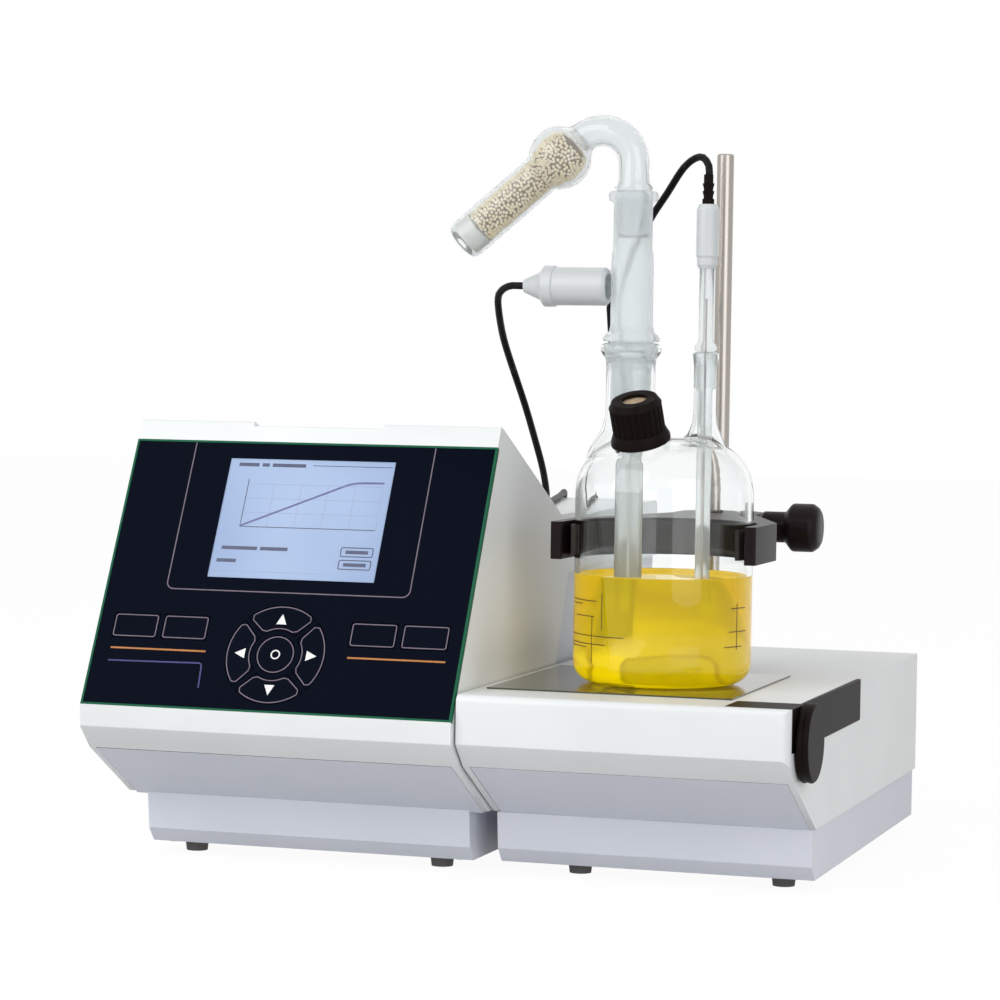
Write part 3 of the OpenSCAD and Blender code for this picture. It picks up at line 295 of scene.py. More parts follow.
indicatorRun = {
    "route": [
        (86.2, -71.5, 273.5), (86.2, -71.5, 278.5), (82, -68, 282.5), (74, -62, 279), (65, -54, 269),
        (56, -47, 258.5), (45, -38, 242), (35.5, -31, 224), (35, -22, 200), (37, -13, 172), (38, -4, 142),
        (37, 5, 112), (34, 14, 92), (31, 28, 80), (30, 50, 78), (32, 80, 78), (35, 98, 78), (36, 106, 78.2),
        (37, 112, 75), (38, 114, 62), (38, 115.5, 36), (39.3, 118.5, 13), (40.8, 125, 3.2), (39.6, 136, 1.5)],
    "coilAt": (56, 157), "coilStart": 191, "coilTurn": 1397,
    "rise": [
        (32, 150.4, 3.4), (21, 163, 1.7), (8, 179, 1.5), (-30, 206, 1.5), (-70, 216, 1.5), (-86, 213, 5),
        (-92, 205, 18), (-92.5, 198, 36), (-92.5, 190, 54), (-92.4, 182, 66), (-92.3, 172, 70)],
    "landing": (34, 14, 92)}


def coilPath(run):
    # turns side by side and on each other: outer low, inner low, inner high, outer high
    centre, whole = run["coilAt"], run["coilTurn"]
    a = np.linspace(0, whole, int(whole / 360 * cable["turnSteps"]) + 1)
    half = cable["pitch"] / 2
    radius = cable["coilMiddle"] + half * (1 - 2 * smoothStep(a, *cable["closesIn"])
                                           + 2 * smoothStep(a, *cable["opensOut"]))
    height = half * (1 + 2 * smoothStep(a, *cable["climbs"]))
    angle = np.radians(run["coilStart"] - a)
    return np.stack([centre[0] + radius * np.cos(angle), centre[1] + radius * np.sin(angle), height], -1)


def joinPath(parts):
    # one smooth line through all the points, kept off the floor and evenly cut
    p = np.vstack(parts)
    keep = np.r_[True, np.linalg.norm(np.diff(p, axis=0), axis=1) > cable["shortest"]]
    line = splinePath(p[keep], 3)
    line[:, 2] = np.maximum(line[:, 2], cable["diameter"] / 2 + cable["floorGap"])
    far = np.r_[0, np.cumsum(np.linalg.norm(np.diff(line, axis=0), axis=1))]
    even = np.linspace(0, far[-1], max(12, int(far[-1] / cable["step"])))
    return np.stack([np.interp(even, far, line[:, i]) for i in range(3)], -1)


def makeCable(name, run):
    # the upper part follows the clamp, the lower part lies behind the housings; they meet at the split
    radius, split = cable["diameter"] / 2, cable["splitAt"]
    plugNode, coilNode, oldNode = name + "_plug", name + "_coil", name + "_cable"
    route = np.array(run["route"], float)
    upper = joinPath([route[:split + 1]])
    lower = joinPath([route[split:], coilPath(run), np.array(run["rise"], float)])
    upperPiece = solidTube(name + "CableUpper", upper, radius, cableSheath)
    lowerPiece = solidTube(name + "CableLower", lower, radius, cableSheath)
    meeting = tuple(upper[-1] * mm)
    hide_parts(oldNode, coilNode)
    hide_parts(oldNode)
    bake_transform(upperPiece, "rod_sleeve", "cell", start=meeting, end=tuple(upper[0] * mm))
    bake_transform(lowerPiece, "housings", "rod_sleeve", start=tuple(np.array(run["landing"]) * mm), end=meeting)
    print(name, "cable", round(pathLength(upper)), "+", round(pathLength(lower)), "mm")


makeCable("generator", generatorRun)
makeCable("indicator", indicatorRun)
print("cords made")

finishes = {
    # moulded ABS housing, satin paint: near white, very fine orange peel
    "housing": finish("moulded housing satin white", "EEF1F2", 0.38, ("EBEEEF", "F0F3F4", 60), (0.9, 0.012)),
    # moulded base: cool grey, slightly rougher than the cover
    "base": finish("moulded base light grey", "E0E4EE", 0.45, ("DEE2EC", "E3E6F0", 50), (0.9, 0.015)),
    # moulded rubber foot: matte
    "rubber": finish("moulded rubber grey", "6E6E70", 0.8, grain=(0.6, 0.04)),
    # black ABS: moulded with a light spark grain
    "black": finish("moulded ABS black", "17110F", 0.45, grain=(0.7, 0.03), Specular_IOR_Level=0.05),
    # keypad foil: flat gloss
    "foil": finish("keypad foil gloss black", "080E1B", 0.22, ("080D1A", "0A101E", 40), (0.5, 0.004),
                   Specular_IOR_Level=0.01),
    # glass fibre board: green lacquer, the weave just felt
    "board": finish("board lacquer green", "1D5A38", 0.35, grain=(1.2, 0.02)),
    # enamelled steel plate: glossy dark grey green
    "plate": finish("enamelled plate grey green", "4A4935", 0.12, ("464531", "4E4D39", 25),
                    Coat_Weight=0.1, Specular_IOR_Level=0.3, Coat_Roughness=0.04),
    # clamp, pressed phenolic plastic: dark brown-black, softly shining
    "clamp": finish("phenolic plastic dark brown", "1C1213", 0.36, ("191011", "20161A", 12), (0.8, 0.03),
                    Specular_IOR_Level=0.1),
    # foam lining of the clamp: dark and matte
    "lining": finish("soft lining dark", "2E2826", 0.8, grain=(0.5, 0.08)),
    # turned plastic of the electrode heads: milky, light goes a little way in
    "whitePlastic": finish("turned plastic milky white", "D3D7D9", 0.3, grain=(1.0, 0.01),
                           Subsurface_Weight=0.15, Subsurface_Radius=(0.004, 0.004, 0.004)),
    # silicone septum: tan, dull and slightly speckled
    "septum": finish("silicone septum tan", "B9A184", 0.6, ("B09779", "C4AD90", 2), (0.4, 0.06)),
    # cotton wool: loose white fibre with a soft edge
    "cotton": finish("cotton wool", "F8F6F0", 0.95, grain=(0.35, 0.5, 6.0), Sheen_Weight=0.6),
    # platinum sheet: pale, half bright
    "platinum": finish("platinum", "DCDAD6", 0.4, grain=(0.6, 0.01), Metallic=0.6),
}

# brushed steel: streaks 0.6 mm wide and 17 mm long run up the rod
finishes["steel"], tree, shader = newMaterial("brushed stainless steel", "A6A09A", 0.26, Metallic=1.0)
where = addNode(tree, "ShaderNodeTexCoord")
stretch = addNode(tree, "ShaderNodeMapping", {"Scale": (1600, 1600, 60)}, {"Vector": where.outputs["Object"]})
streak = addNode(tree, "ShaderNodeTexNoise", {"Scale": 1.0, "Detail": 2.0},
                 {"Vector": stretch.outputs["Vector"]})
bumpInto(tree, shader, streak, 0.008, 0.5)

wornBy = {
    "housing": ("titrator_cover", "stirrer_cover"),
    "base": ("titrator_chassis", "stirrer_chassis"),
    "steel": ("titrator_base_plate", "stirrer_base_plate", "rear_sockets", "titrator_screws", "stirrer_screws",
              "speed_potentiometer", "stirrer_motor", "magnet_rotor", "rod_socket", "stand_rod"),
    "black": ("display_module", "power_switch", "control_insert", "speed_wheel", "rod_sleeve", "septum_cap",
              "indicator_relief", "generator_plug", "indicator_plug"),
    "board": ("keypad_board", "main_board", "generator_board"),
    "rubber": ("titrator_feet", "stirrer_feet"),
    "plate": ("vessel_plate",),
    "clamp": ("vessel_clamp", "clamp_knob"),
    "lining": ("clamp_lining",),
    "whitePlastic": ("stirring_bar", "generator_head", "indicator_head"),
    "septum": ("septum",),
    "platinum": ("generator_diaphragm", "indicator_pins"),
    "cotton": ("cotton_plugs",),
    "foil": ("key_mode", "key_edit", "key_esc", "key_start", "key_up", "key_down", "key_left", "key_right",
             "key_ok"),
}


def dress(node, material):
    # the solid of that node wears this material alone
    made = nodes[node]
    made.data.materials.clear()
    made.data.materials.append(material)


for look, wearers in wornBy.items():
    for node in wearers:
        dress(node, finishes[look])
print("solids dressed")

# how wide each moulding rounds its edges, in millimetres
roundings = {"titrator_cover": 0.8, "stirrer_cover": 0.8, "titrator_chassis": 0.8, "stirrer_chassis": 0.8,
             "vessel_clamp": 0.7, "clamp_knob": 0.5, "control_insert": 0.25, "speed_wheel": 0.4,
             "septum_cap": 0.3}
crease = np.radians(32)  # an edge turned by more than this is rounded and stays crisp
flat = np.radians(1.0)  # faces turned by less than this are made one


def softened(node, width):
    # a copy of the solid with its edges rounded, as moulding leaves them
    source = nodes[node]
    made = bpy.data.objects.new(node + "Rounded", source.data.copy())
    bpy.context.scene.collection.objects.link(made)
    made.data.transform(source.matrix_world)
    work = bmesh.new()
    work.from_mesh(made.data)
    bmesh.ops.remove_doubles(work, verts=work.verts, dist=2e-6)
    bmesh.ops.dissolve_limit(work, angle_limit=flat, verts=work.verts, edges=work.edges)
    bmesh.ops.recalc_face_normals(work, faces=work.faces)
    for face in work.faces:
        face.smooth = True
    for edge in work.edges:
        edge.smooth = len(edge.link_faces) == 2 and edge.calc_face_angle(0) < crease
    work.to_mesh(made.data)
    work.free()
    bevel = made.modifiers.new("edges", "BEVEL")
    bevel.width = width * mm
    bevel.segments = 3
    bevel.limit_method = "ANGLE"
    bevel.angle_limit = crease
    bevel.use_clamp_overlap = True
    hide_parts(node)
    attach(made, body_of(source)[0])
    return made


for node, width in roundings.items():
    made = softened(node, width)
print("housings rounded")

lean = np.radians(place["panelLean"])
panelUp = np.array([0, np.sin(lean), np.cos(lean)])
panelOut = np.array([0, -np.cos(lean), np.sin(lean)])
panelCorner = np.array([place["panelLeft"], place["panelFront"], place["panelFoot"]])


def onPanel(u, v, w):
    # point(u, v, w) = lower left corner + u along + v up the slope + w out of the panel
    u, v, w = np.broadcast_arrays(np.asarray(u, float), np.asarray(v, float), np.asarray(w, float))
    return panelCorner + u[..., None] * np.array([1, 0, 0]) + v[..., None] * panelUp + w[..., None] * panelOut


def pastReach(tree, where, axis, middle, reach):
    # 1 where a point lies farther than the reach from the middle, measured along the axis
    along = addNode(tree, "ShaderNodeVectorMath", {"operation": "DOT_PRODUCT"}, {0: where.outputs["Object"]})
    along.inputs[1].default_value = axis
    value = along.outputs["Value"]
    for settings in ({"operation": "SUBTRACT", 1: middle * mm}, {"operation": "ABSOLUTE"},
                     {"operation": "GREATER_THAN", 1: reach * mm}):
        value = addNode(tree, "ShaderNodeMath", settings, {0: value}).outputs["Value"]
    return value


# acrylic front plate, printed black behind: its cut edge glows green
panelLook = {"black": "080E1C", "edge": "28664A", "edgeWide": 0.9}
finishes["panel"], tree, shader = newMaterial("acrylic plate printed black", panelLook["black"], 0.12,
                                              Specular_IOR_Level=0.01)
where = addNode(tree, "ShaderNodeTexCoord")
overU = pastReach(tree, where, (1, 0, 0), place["panelLeft"] + place["panelWidth"] / 2,
                  place["panelWidth"] / 2 - panelLook["edgeWide"])
overV = pastReach(tree, where, tuple(panelUp), float(panelCorner @ panelUp + place["panelLength"] / 2),
                  place["panelLength"] / 2 - panelLook["edgeWide"])
onEdge = addNode(tree, "ShaderNodeMath", {"operation": "MAXIMUM"}, {0: overU, 1: overV})
tint = addNode(tree, "ShaderNodeMix", {"data_type": "RGBA"}, {"Factor": onEdge.outputs["Value"]})
tint.inputs[6].default_value = linear(panelLook["black"])  # the mix node's first colour
tint.inputs[7].default_value = linear(panelLook["edge"])  # and its second
tree.links.new(tint.outputs[2], shader.inputs["Base Color"])
bumpInto(tree, shader, objectNoise(tree, 1 / (3.0 * mm), 3.0), 0.003, 0.6)
dress("operating_panel", finishes["panel"])

# screen print inks: flat, dull, a little uneven
ink = {
    "mauve": finish("screen print mauve", "716272", 0.5, ("6C5D6D", "766777", 5)),
    "orange": finish("screen print orange", "B9742D", 0.5, ("B46F28", "BF7A33", 5)),
    "blue": finish("screen print blue", "2C2C74", 0.5, ("292970", "31317A", 5)),
    "white": finish("screen print white", "F2F2F2", 0.5, ("EEEEEE", "F6F6F6", 5)),
}
onFoil = {"low": -0.02, "high": 0.05}  # bottom and top of the ink, out of the panel


def printed(name, points, faces, material, body):
    # a patch of ink, riding the panel or one of its keys
    made = meshPiece(name, points, faces, material, smooth=False)
    outward(made)
    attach(made, body)


def inkLine(name, path, width, material, closed=False, body="housings", low=onFoil["low"], high=onFoil["high"]):
    # a flat printed line: a small rectangle carried along a path in the panel's plane
    p = np.asarray(path, float)
    ahead = np.roll(p, -1, 0) - np.roll(p, 1, 0) if closed else np.gradient(p, axis=0)
    ahead /= np.linalg.norm(ahead, axis=1, keepdims=True)
    side = np.stack([-ahead[:, 1], ahead[:, 0]], -1) * width / 2
    ring = [(p + side, high), (p - side, high), (p - side, low), (p + side, low)]
    grid = np.stack([onPanel(r[:, 0], r[:, 1], h) for r, h in ring], 1)
    faces = gridFaces(len(p), 4, closeRows=closed)
    if not closed:
        last = (len(p) - 1) * 4
        faces += [[0, 1, 2, 3], [last + 3, last + 2, last + 1, last]]
    printed(name, grid.reshape(-1, 3), faces, material, body)


def inkShape(name, outline, material, body="housings", low=onFoil["low"], high=onFoil["high"]):
    # a flat printed patch with the given outline
    p = np.asarray(outline, float)
    n = len(p)
    points = np.vstack([onPanel(p[:, 0], p[:, 1], high), onPanel(p[:, 0], p[:, 1], low)])
    faces = [list(range(n)), list(range(n, 2 * n))[::-1]]
    faces += [[k, n + k, n + (k + 1) % n, (k + 1) % n] for k in range(n)]
    printed(name, points, faces, material, body)


def straight(a, b):
    # a straight line with a point at its middle
    return [a, ((a[0] + b[0]) / 2, (a[1] + b[1]) / 2), b]


def arcPoints(centre, radius, start, end, count=9):
    # centre + radius (cos a, sin a), from start to end in degrees
    a = np.radians(np.linspace(start, end, count))
    return [(centre[0] + radius * x, centre[1] + radius * y) for x, y in zip(np.cos(a), np.sin(a))]


def roundBox(left, low, right, high, r):
    # four quarter circles, joined by the box's sides
    return (arcPoints((right - r, low + r), r, -90, 0) + arcPoints((right - r, high - r), r, 0, 90)
            + arcPoints((left + r, high - r), r, 90, 180) + arcPoints((left + r, low + r), r, 180, 270))


# what is printed on the panel, from its lower left corner
panelArt = {"frameLeft": 26.0, "frameLow": 50.3, "frameRight": 127.6, "frameCorner": 3, "frameTop": 1.2,
            "line": 0.45, "orangeV": 24.3, "orangeWide": 0.7,
            "orange": {"orangeLineLeft": (7.8, 48.1), "orangeLineRight": (106.9, 146.8)}, "blueWide": 0.6,
            "blue": [(7.8, 18.9), (30, 19.1), (46.2, 19.3), (47.2, 19.0), (47.6, 18), (48.1, 9)],
            "keyLeft": (7.1, 28.2, 106.5, 127.7), "keyLow": 29.0, "keyWide": 18.8, "keyTall": 10.0,
            "keyInset": 0.5, "keyCorner": 0.9, "keyLine": 0.4}
left, low, right = panelArt["frameLeft"], panelArt["frameLow"], panelArt["frameRight"]
r, top = panelArt["frameCorner"], place["panelLength"] - panelArt["frameTop"]
corners = arcPoints((left + r, low + r), r, 180, 270) + arcPoints((right - r, low + r), r, 270, 360)
inkLine("displayFrame", [(left, top)] + corners + [(right, top)], panelArt["line"], ink["mauve"])
for name, (start, end) in panelArt["orange"].items():
    line = straight((start, panelArt["orangeV"]), (end, panelArt["orangeV"]))
    inkLine(name, line, panelArt["orangeWide"], ink["orange"])
inkLine("blueBracket", panelArt["blue"], panelArt["blueWide"], ink["blue"])
gap = panelArt["keyInset"]
for name, x in zip(("mode", "edit", "esc", "start"), panelArt["keyLeft"]):
    box = roundBox(x + gap, panelArt["keyLow"] + gap, x + panelArt["keyWide"] - gap,
                   panelArt["keyLow"] + panelArt["keyTall"] - gap, panelArt["keyCorner"])
    inkLine("outline_" + name, box, panelArt["keyLine"], ink["mauve"], closed=True, body="key_" + name)

# ring of four arrow keys round the middle key
ringArt = {"centre": (77.3, 24.3), "outer": 20.0, "inner": 10.9, "gap": 1.7, "corner": 1.4, "middle": 7.4,
           "arrow": [(17.0, 0), (12.7, 2.1), (12.7, -2.1)], "symbol": 1.7, "symbolLine": 0.55}


def turnedOnRing(line, angle):
    # points about the ring's centre, turned by the angle
    c, s = np.cos(np.radians(angle)), np.sin(np.radians(angle))
    u, v = ringArt["centre"]
    return [(u + c * x - s * y, v + s * x + c * y) for x, y in line]


def quarterOutline():
    # rim of the right-hand quarter: two arcs and two straight sides with rounded corners
    outer, inner, r = ringArt["outer"], ringArt["inner"], ringArt["corner"]
    a, b = (45 - np.degrees(np.arcsin(ringArt["gap"] / radius)) for radius in (outer, inner))
    turnOut, turnIn = np.degrees(r / outer), np.degrees(r / inner)
    return (arcPoints((0, 0), outer, -a + turnOut, a - turnOut, 25) + arcPoints((0, 0), outer - r, a, a, 1)
            + arcPoints((0, 0), inner + r, b, b, 1) + arcPoints((0, 0), inner, b - turnIn, -b + turnIn, 15)
            + arcPoints((0, 0), inner + r, -b, -b, 1) + arcPoints((0, 0), outer - r, -a, -a, 1))


for name, angle in (("right", 0), ("up", 90), ("left", 180), ("down", 270)):
    inkLine("outline_" + name, turnedOnRing(quarterOutline(), angle), panelArt["keyLine"], ink["mauve"],
            closed=True, body="key_" + name)
    inkShape("arrow_" + name, turnedOnRing(ringArt["arrow"], angle), ink["white"], body="key_" + name)
inkLine("outline_ok", arcPoints(ringArt["centre"], ringArt["middle"], 0, 352, 45), panelArt["keyLine"],
        ink["mauve"], closed=True, body="key_ok")
inkLine("symbol_ok", arcPoints(ringArt["centre"], ringArt["symbol"], 0, 345, 24), ringArt["symbolLine"],
        ink["white"], closed=True, body="key_ok")

# liquid crystal display: pale blue, lit from behind, its tone drifting every 56 mm
lcd, tree, shader = newMaterial("liquid crystal display pale blue", "9FB4D6", 0.18, Emission_Strength=0.09,
                                Specular_IOR_Level=0.15)
shader.inputs["Emission Color"].default_value = linear("BCD0EC")
driftInto(tree, shader, objectNoise(tree, 18.0, 1.0), "93A8CC", "A6BADB", (0.3, 0.7))
dress("display_pane", lcd)
ink["segment"] = finish("liquid crystal segment dark", "3A4266", 0.3, ("363E62", "40486C", 3))
ink["curve"] = finish("liquid crystal segment violet", "5A5C92", 0.3, ("56588E", "5F6198", 3))
ink["grid"] = finish("liquid crystal segment faint", "93A2C2", 0.3, ("8F9EBE", "98A7C6", 3))

# what the display shows; its pane stands back from the panel
onPane = {"low": -0.42, "high": -0.37}
graph = {"left": 51.5, "right": 108.5, "low": 78.3, "high": 97.0, "firstUp": 11.4, "firstAcross": 6.2,
         "gridLine": 0.18, "axisLine": 0.35, "curveLine": 0.85, "over": 2}
left, right, low, high = graph["left"], graph["right"], graph["low"], graph["high"]
for k, x in enumerate(np.linspace(left + graph["firstUp"], right, 5)):
    inkLine("gridUp%d" % k, straight((x, low), (x, high)), graph["gridLine"], ink["grid"], **onPane)
for k, y in enumerate(np.linspace(low + graph["firstAcross"], high, 3)):
    inkLine("gridAcross%d" % k, straight((left, y), (right, y)), graph["gridLine"], ink["grid"], **onPane)
over = graph["over"]  # how far the upright axis stands over the grid, and the length of its corner pieces
inkLine("graphAxes", [(left, high + over), (left, low + over), (left, low), (left + over, low), (right, low)],
        graph["axisLine"], ink["segment"], **onPane)
# the curve climbs straight, bends over and stays level
bend = [(left, low + 0.3), (72, 87.8), (91.5, 96.6), (94.5, 97.8), (97.5, 98.4), (101, 98.6), (108.8, 98.7)]
inkLine("graphCurve", bend, graph["curveLine"], ink["curve"], **onPane)
# level lines of the display: start, end, height, width and tone
levelLines = {"screenTopLine": (77.5, 111, 105.6, 0.3, "segment"), "screenLowLine": (44, 95, 59, 0.2, "grid")}
for name, (start, end, y, wide, tone) in levelLines.items():
    inkLine(name, straight((start, y), (end, y)), wide, ink[tone], **onPane)
# two soft keys, and words as plain bars without letters: left end, height and length
softKey = {"left": 96, "right": 109.2, "at": (68.7, 63.3), "half": 1.9, "corner": 0.6, "line": 0.45}
for k, y in enumerate(softKey["at"]):
    box = roundBox(softKey["left"], y - softKey["half"], softKey["right"], y + softKey["half"],
                   softKey["corner"])
    inkLine("softKey%d" % k, box, softKey["line"], ink["segment"], closed=True, **onPane)
bars = [(46, 105.4, 8.6), (56, 105.4, 3), (60.3, 105.4, 14.2), (45.7, 69, 15), (62, 69, 11.6),
        (44.6, 63.5, 8.2), (97.9, 68.7, 9.4), (97.9, 63.3, 9.4)]
barHalf = 0.75
for k, (x, y, wide) in enumerate(bars):
    outline = [(x, y - barHalf), (x + wide, y - barHalf), (x + wide, y + barHalf), (x, y + barHalf)]
    inkShape("wordBar%d" % k, outline, ink["segment"], **onPane)
print("panel dressed")

# borosilicate glass, drawn and fire-polished: clear, bright rims, a slow ripple every 22 mm
glass, tree, shader = newMaterial("borosilicate glass", "FCFEFE", 0.0, Transmission_Weight=1.0, IOR=1.36,
                                  Specular_IOR_Level=0.02)
bumpInto(tree, shader, objectNoise(tree, 45.0, 1.0), 0.02, 0.5)
# drawn glass tube: milky against the light, with a faint white glow that is painted light
milky = finish("milky drawn glass with painted glow", "F0F4F5", 0.24, grain=(4.0, 0.01), glow="F4FAFA",
               Transmission_Weight=0.74, IOR=1.16, Emission_Strength=0.015)
# thin blown glass: a little grey at its rims
thinGlass = finish("thin blown glass", "F4F7F8", 0.03, grain=(6.0, 0.01), Transmission_Weight=0.88,
                   IOR=1.4, Specular_IOR_Level=0.3)

cellX, cellY, cellZ = place["cell"]
# the glass vessel, in mm from its foot and degrees, but the remesh's voxel in metres
cell = {"radius": 35.0, "wall": 2.0, "foot": 8.0, "shoulder": 22.0, "top": 96.0, "fill": 41.0,
        "neckTop": 132.7, "sideTop": 129.7, "portLength": 13.9, "portTurn": -11, "portLean": 22,
        "voxel": 0.0010, "smoothing": 14}
neckTop, sideTop, portLength = cell["neckTop"], cell["sideTop"], cell["portLength"]
# each neck: heights, radii there, and how far the bore is narrower there for each mm of wall
mainNeck = {"z": [84, 90, 95, 99, 104, neckTop - 5.6, neckTop - 4.2, neckTop - 1.5, neckTop],
            "r": [17.5, 16.5, 13.6, 11.2, 9.9, 9.8, 12.2, 12.2, 11.6],
            "wall": [1, 1, 1, 1, 1, 1, 3.4, 3.4, 3.0]}
sideNeck = {"z": [84, 90, 96, 101, 106, sideTop - 4, sideTop - 3, sideTop],
            "r": [12, 10.5, 7.4, 5.2, 4.6, 4.6, 5.5, 5.5],
            "wall": [1, 1, 1, .8, .6, .6, 1.1, 1.1]}
portNeck = {"along": [-9, -3, 0, 3, portLength], "r": [11, 10.5, 8.8, 7.5, 7.4]}
wallShare, portShare, throughTop = 0.9, 0.75, 3.0  # parts of the wall, and how far a bore goes past the rim


def arcRow(cx, cz, r, start, end, count):
    # (radius, height) points of an arc about (cx, cz), in degrees
    a = np.radians(np.linspace(start, end, count))
    return np.stack([cx + r * np.cos(a), cz + r * np.sin(a)], -1)


def revolvePiece(name, profile, centre, material, closed=False, sides=96):
    # point(k, a) = centre + (r(k) cos a, r(k) sin a, z(k)), the profile open from axis to axis or a closed ring
    a = np.linspace(0, 2 * np.pi, sides, endpoint=False)
    r, z = np.asarray(profile)[:, 0], np.asarray(profile)[:, 1]
    grid = np.stack([centre[0] + r[:, None] * np.cos(a), centre[1] + r[:, None] * np.sin(a),
                     np.broadcast_to(centre[2] + z[:, None], (len(r), sides))], -1)
    made = meshPiece(name, grid.reshape(-1, 3), gridFaces(len(profile), sides, closeRows=closed), material)
    outward(made)
    return made


def bodyProfile(inset):
    # foot round, straight wall, shoulder round, and a flat crown
    r, foot, shoulder, top = cell["radius"], cell["foot"], cell["shoulder"], cell["top"]
    return np.vstack([[[0.0, inset]], arcRow(r - foot, foot, foot - inset, -90, 0, 12),
                      arcRow(r - shoulder, top - shoulder, shoulder - inset, 0, 90, 22), [[0.0, top - inset]]])


def takeShape(made):
    # the modifiers' result becomes the mesh itself
    bpy.context.view_layer.update()
    ready = made.evaluated_get(bpy.context.evaluated_depsgraph_get())
    made.data = bpy.data.meshes.new_from_object(ready)
    made.modifiers.clear()


def blendedShell(name, inset, material):
    # body and necks melted into one skin by a fine voxel remesh, its joints smoothed
    parts = [revolvePiece(name + "Body", bodyProfile(inset), place["cell"], material, sides=128)]
    for k, (path, radius) in enumerate(vesselNecks(inset)):
        parts.append(solidTube(name + "Neck%d" % k, path, radius, material, sides=64))
    bpy.ops.object.select_all(action="DESELECT")
    for p in parts:
        p.select_set(True)
    bpy.context.view_layer.objects.active = parts[0]
    bpy.ops.object.join()
    made = parts[0]
    made.name = name
    remesh = made.modifiers.new("melt", "REMESH")
    remesh.mode = "VOXEL"
    remesh.voxel_size = cell["voxel"]
    remesh.use_smooth_shade = True
    smooth = made.modifiers.new("flow", "SMOOTH")
    smooth.factor = 0.5
    smooth.iterations = cell["smoothing"]
    takeShape(made)
    return made


portTurn, portLean = np.radians(cell["portTurn"]), np.radians(cell["portLean"])
portAxis = np.array([np.sin(portLean) * np.sin(portTurn), -np.sin(portLean) * np.cos(portTurn),
                     np.cos(portLean)])
portReach = cell["radius"] - cell["shoulder"] + cell["shoulder"] * np.sin(portLean)
portFoot = np.array([cellX + portReach * np.sin(portTurn), cellY - portReach * np.cos(portTurn),
                     cellZ + cell["top"] - cell["shoulder"] + cell["shoulder"] * np.cos(portLean)])


def column(x, neck, inset, over):
    # upright path at x, its radius changing from height to height
    z = np.linspace(neck["z"][0], neck["z"][-1] + over, 50)
    radii = np.array(neck["r"]) - np.array(neck["wall"]) * inset * wallShare
    return np.stack([np.full(50, x), np.full(50, cellY), z + cellZ], -1), np.interp(z, neck["z"], radii)


def vesselNecks(inset):
    # paths and radii of the two upright necks and the leaning port
    over = throughTop if inset else 0.0
    along = np.linspace(portNeck["along"][0], portLength + over, 40)
    portRadii = np.interp(along, portNeck["along"], np.array(portNeck["r"]) - portShare * inset)
    return [column(cellX + place["neckX"], mainNeck, inset, over),
            column(cellX + place["sideX"], sideNeck, inset, over),
            (portFoot + along[:, None] * portAxis, portRadii)]


outer = blendedShell("vesselOuter", 0.0, glass)
inner = blendedShell("vesselInner", cell["wall"], glass)
hollow = outer.modifiers.new("cavity", "BOOLEAN")
hollow.operation = "DIFFERENCE"
hollow.object = inner
hollow.solver = "EXACT"
takeShape(outer)
bpy.data.objects.remove(inner)
outer.name = "vesselGlass"
outer.data.polygons.foreach_set("use_smooth", np.ones(len(outer.data.polygons), bool))
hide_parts("titration_vessel")
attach(outer, "cell")
print("vessel blown")

# electrolyte: deep yellow with iodine, drawn up at the wall as a meniscus; its yellow glow is painted light
liquidYellowPaintedGlow = finish("electrolyte iodine yellow with painted glow", "F0D800", 0.02, grain=(30.0, 0.02), glow="E4C000",
                      Transmission_Weight=0.72, IOR=1.34, Specular_IOR_Level=0.0, Emission_Strength=0.24)
intoGlass = 0.12  # the liquid ends inside the wall, so that no air shows between them
liquidR, liquidLow = cell["radius"] - cell["wall"] + intoGlass, cell["wall"] - intoGlass
foot = cell["foot"] - cell["wall"]
meniscus = [(0, 1.6), (0.5, 1.0), (1.2, 0.45), (2.4, 0.1), (4, 0)]  # in from the wall, up from the level
liquidProfile = np.vstack([[[0.0, liquidLow]], arcRow(liquidR - foot, liquidLow + foot, foot, -90, 0, 12),
                           [[liquidR - x, cell["fill"] + h] for x, h in meniscus], [[0.0, cell["fill"]]]])
liquid = revolvePiece("electrolyteLiquid", liquidProfile, place["cell"], liquidYellowPaintedGlow, sides=128)
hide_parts("electrolyte")
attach(liquid, "cell")

# graduation marks fired into the wall: level strokes (from, to, height) and upright strokes (at, low, high)
enamelMark = finish("fired enamel mark", "5C4408", 0.5, ("523C06", "684E0C", 2))
marks = {"line": 0.4, "points": 12, "outside": 0.04, "inside": -0.1,
         "level": [(206, 238, 33), (204, 222, 31.5), (212, 236, 27), (200, 260, 19.5), (204, 246, 16.3),
                   (203, 228, 15), (332, 352, 22), (328, 346, 16.2), (334, 350, 31)],
         "upright": [(234, 9, 27), (243, 22, 36), (340, 15, 33)]}


def markStroke(name, angle, height, acrossAngle, acrossHeight):
    # point(t, c) = cell axis + radius(c) (cos, sin of the angle), moved half a line to each side
    rows = []
    for dr, way in ((marks["outside"], -1), (marks["outside"], 1), (marks["inside"], 1), (marks["inside"], -1)):
        r = cell["radius"] + dr
        turned = angle + way * acrossAngle * marks["line"] / 2 / cell["radius"]
        rows.append(np.stack([cellX + r * np.cos(turned), cellY + r * np.sin(turned),
                              cellZ + height + way * acrossHeight * marks["line"] / 2], -1))
    last = (marks["points"] - 1) * 4
    faces = gridFaces(marks["points"], 4) + [[0, 1, 2, 3], [last + 3, last + 2, last + 1, last]]
    mark = meshPiece(name, np.stack(rows, 1).reshape(-1, 3), faces, enamelMark, smooth=False)
    outward(mark)
    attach(mark, "cell")


count = marks["points"]
for k, (a, b, z) in enumerate(marks["level"]):
    markStroke("mark%d" % k, np.radians(np.linspace(a, b, count)), np.full(count, float(z)), 0, 1)
for k, (a, low, high) in enumerate(marks["upright"], len(marks["level"])):
    markStroke("mark%d" % k, np.full(count, np.radians(a)), np.linspace(low, high, count), 1, 0)

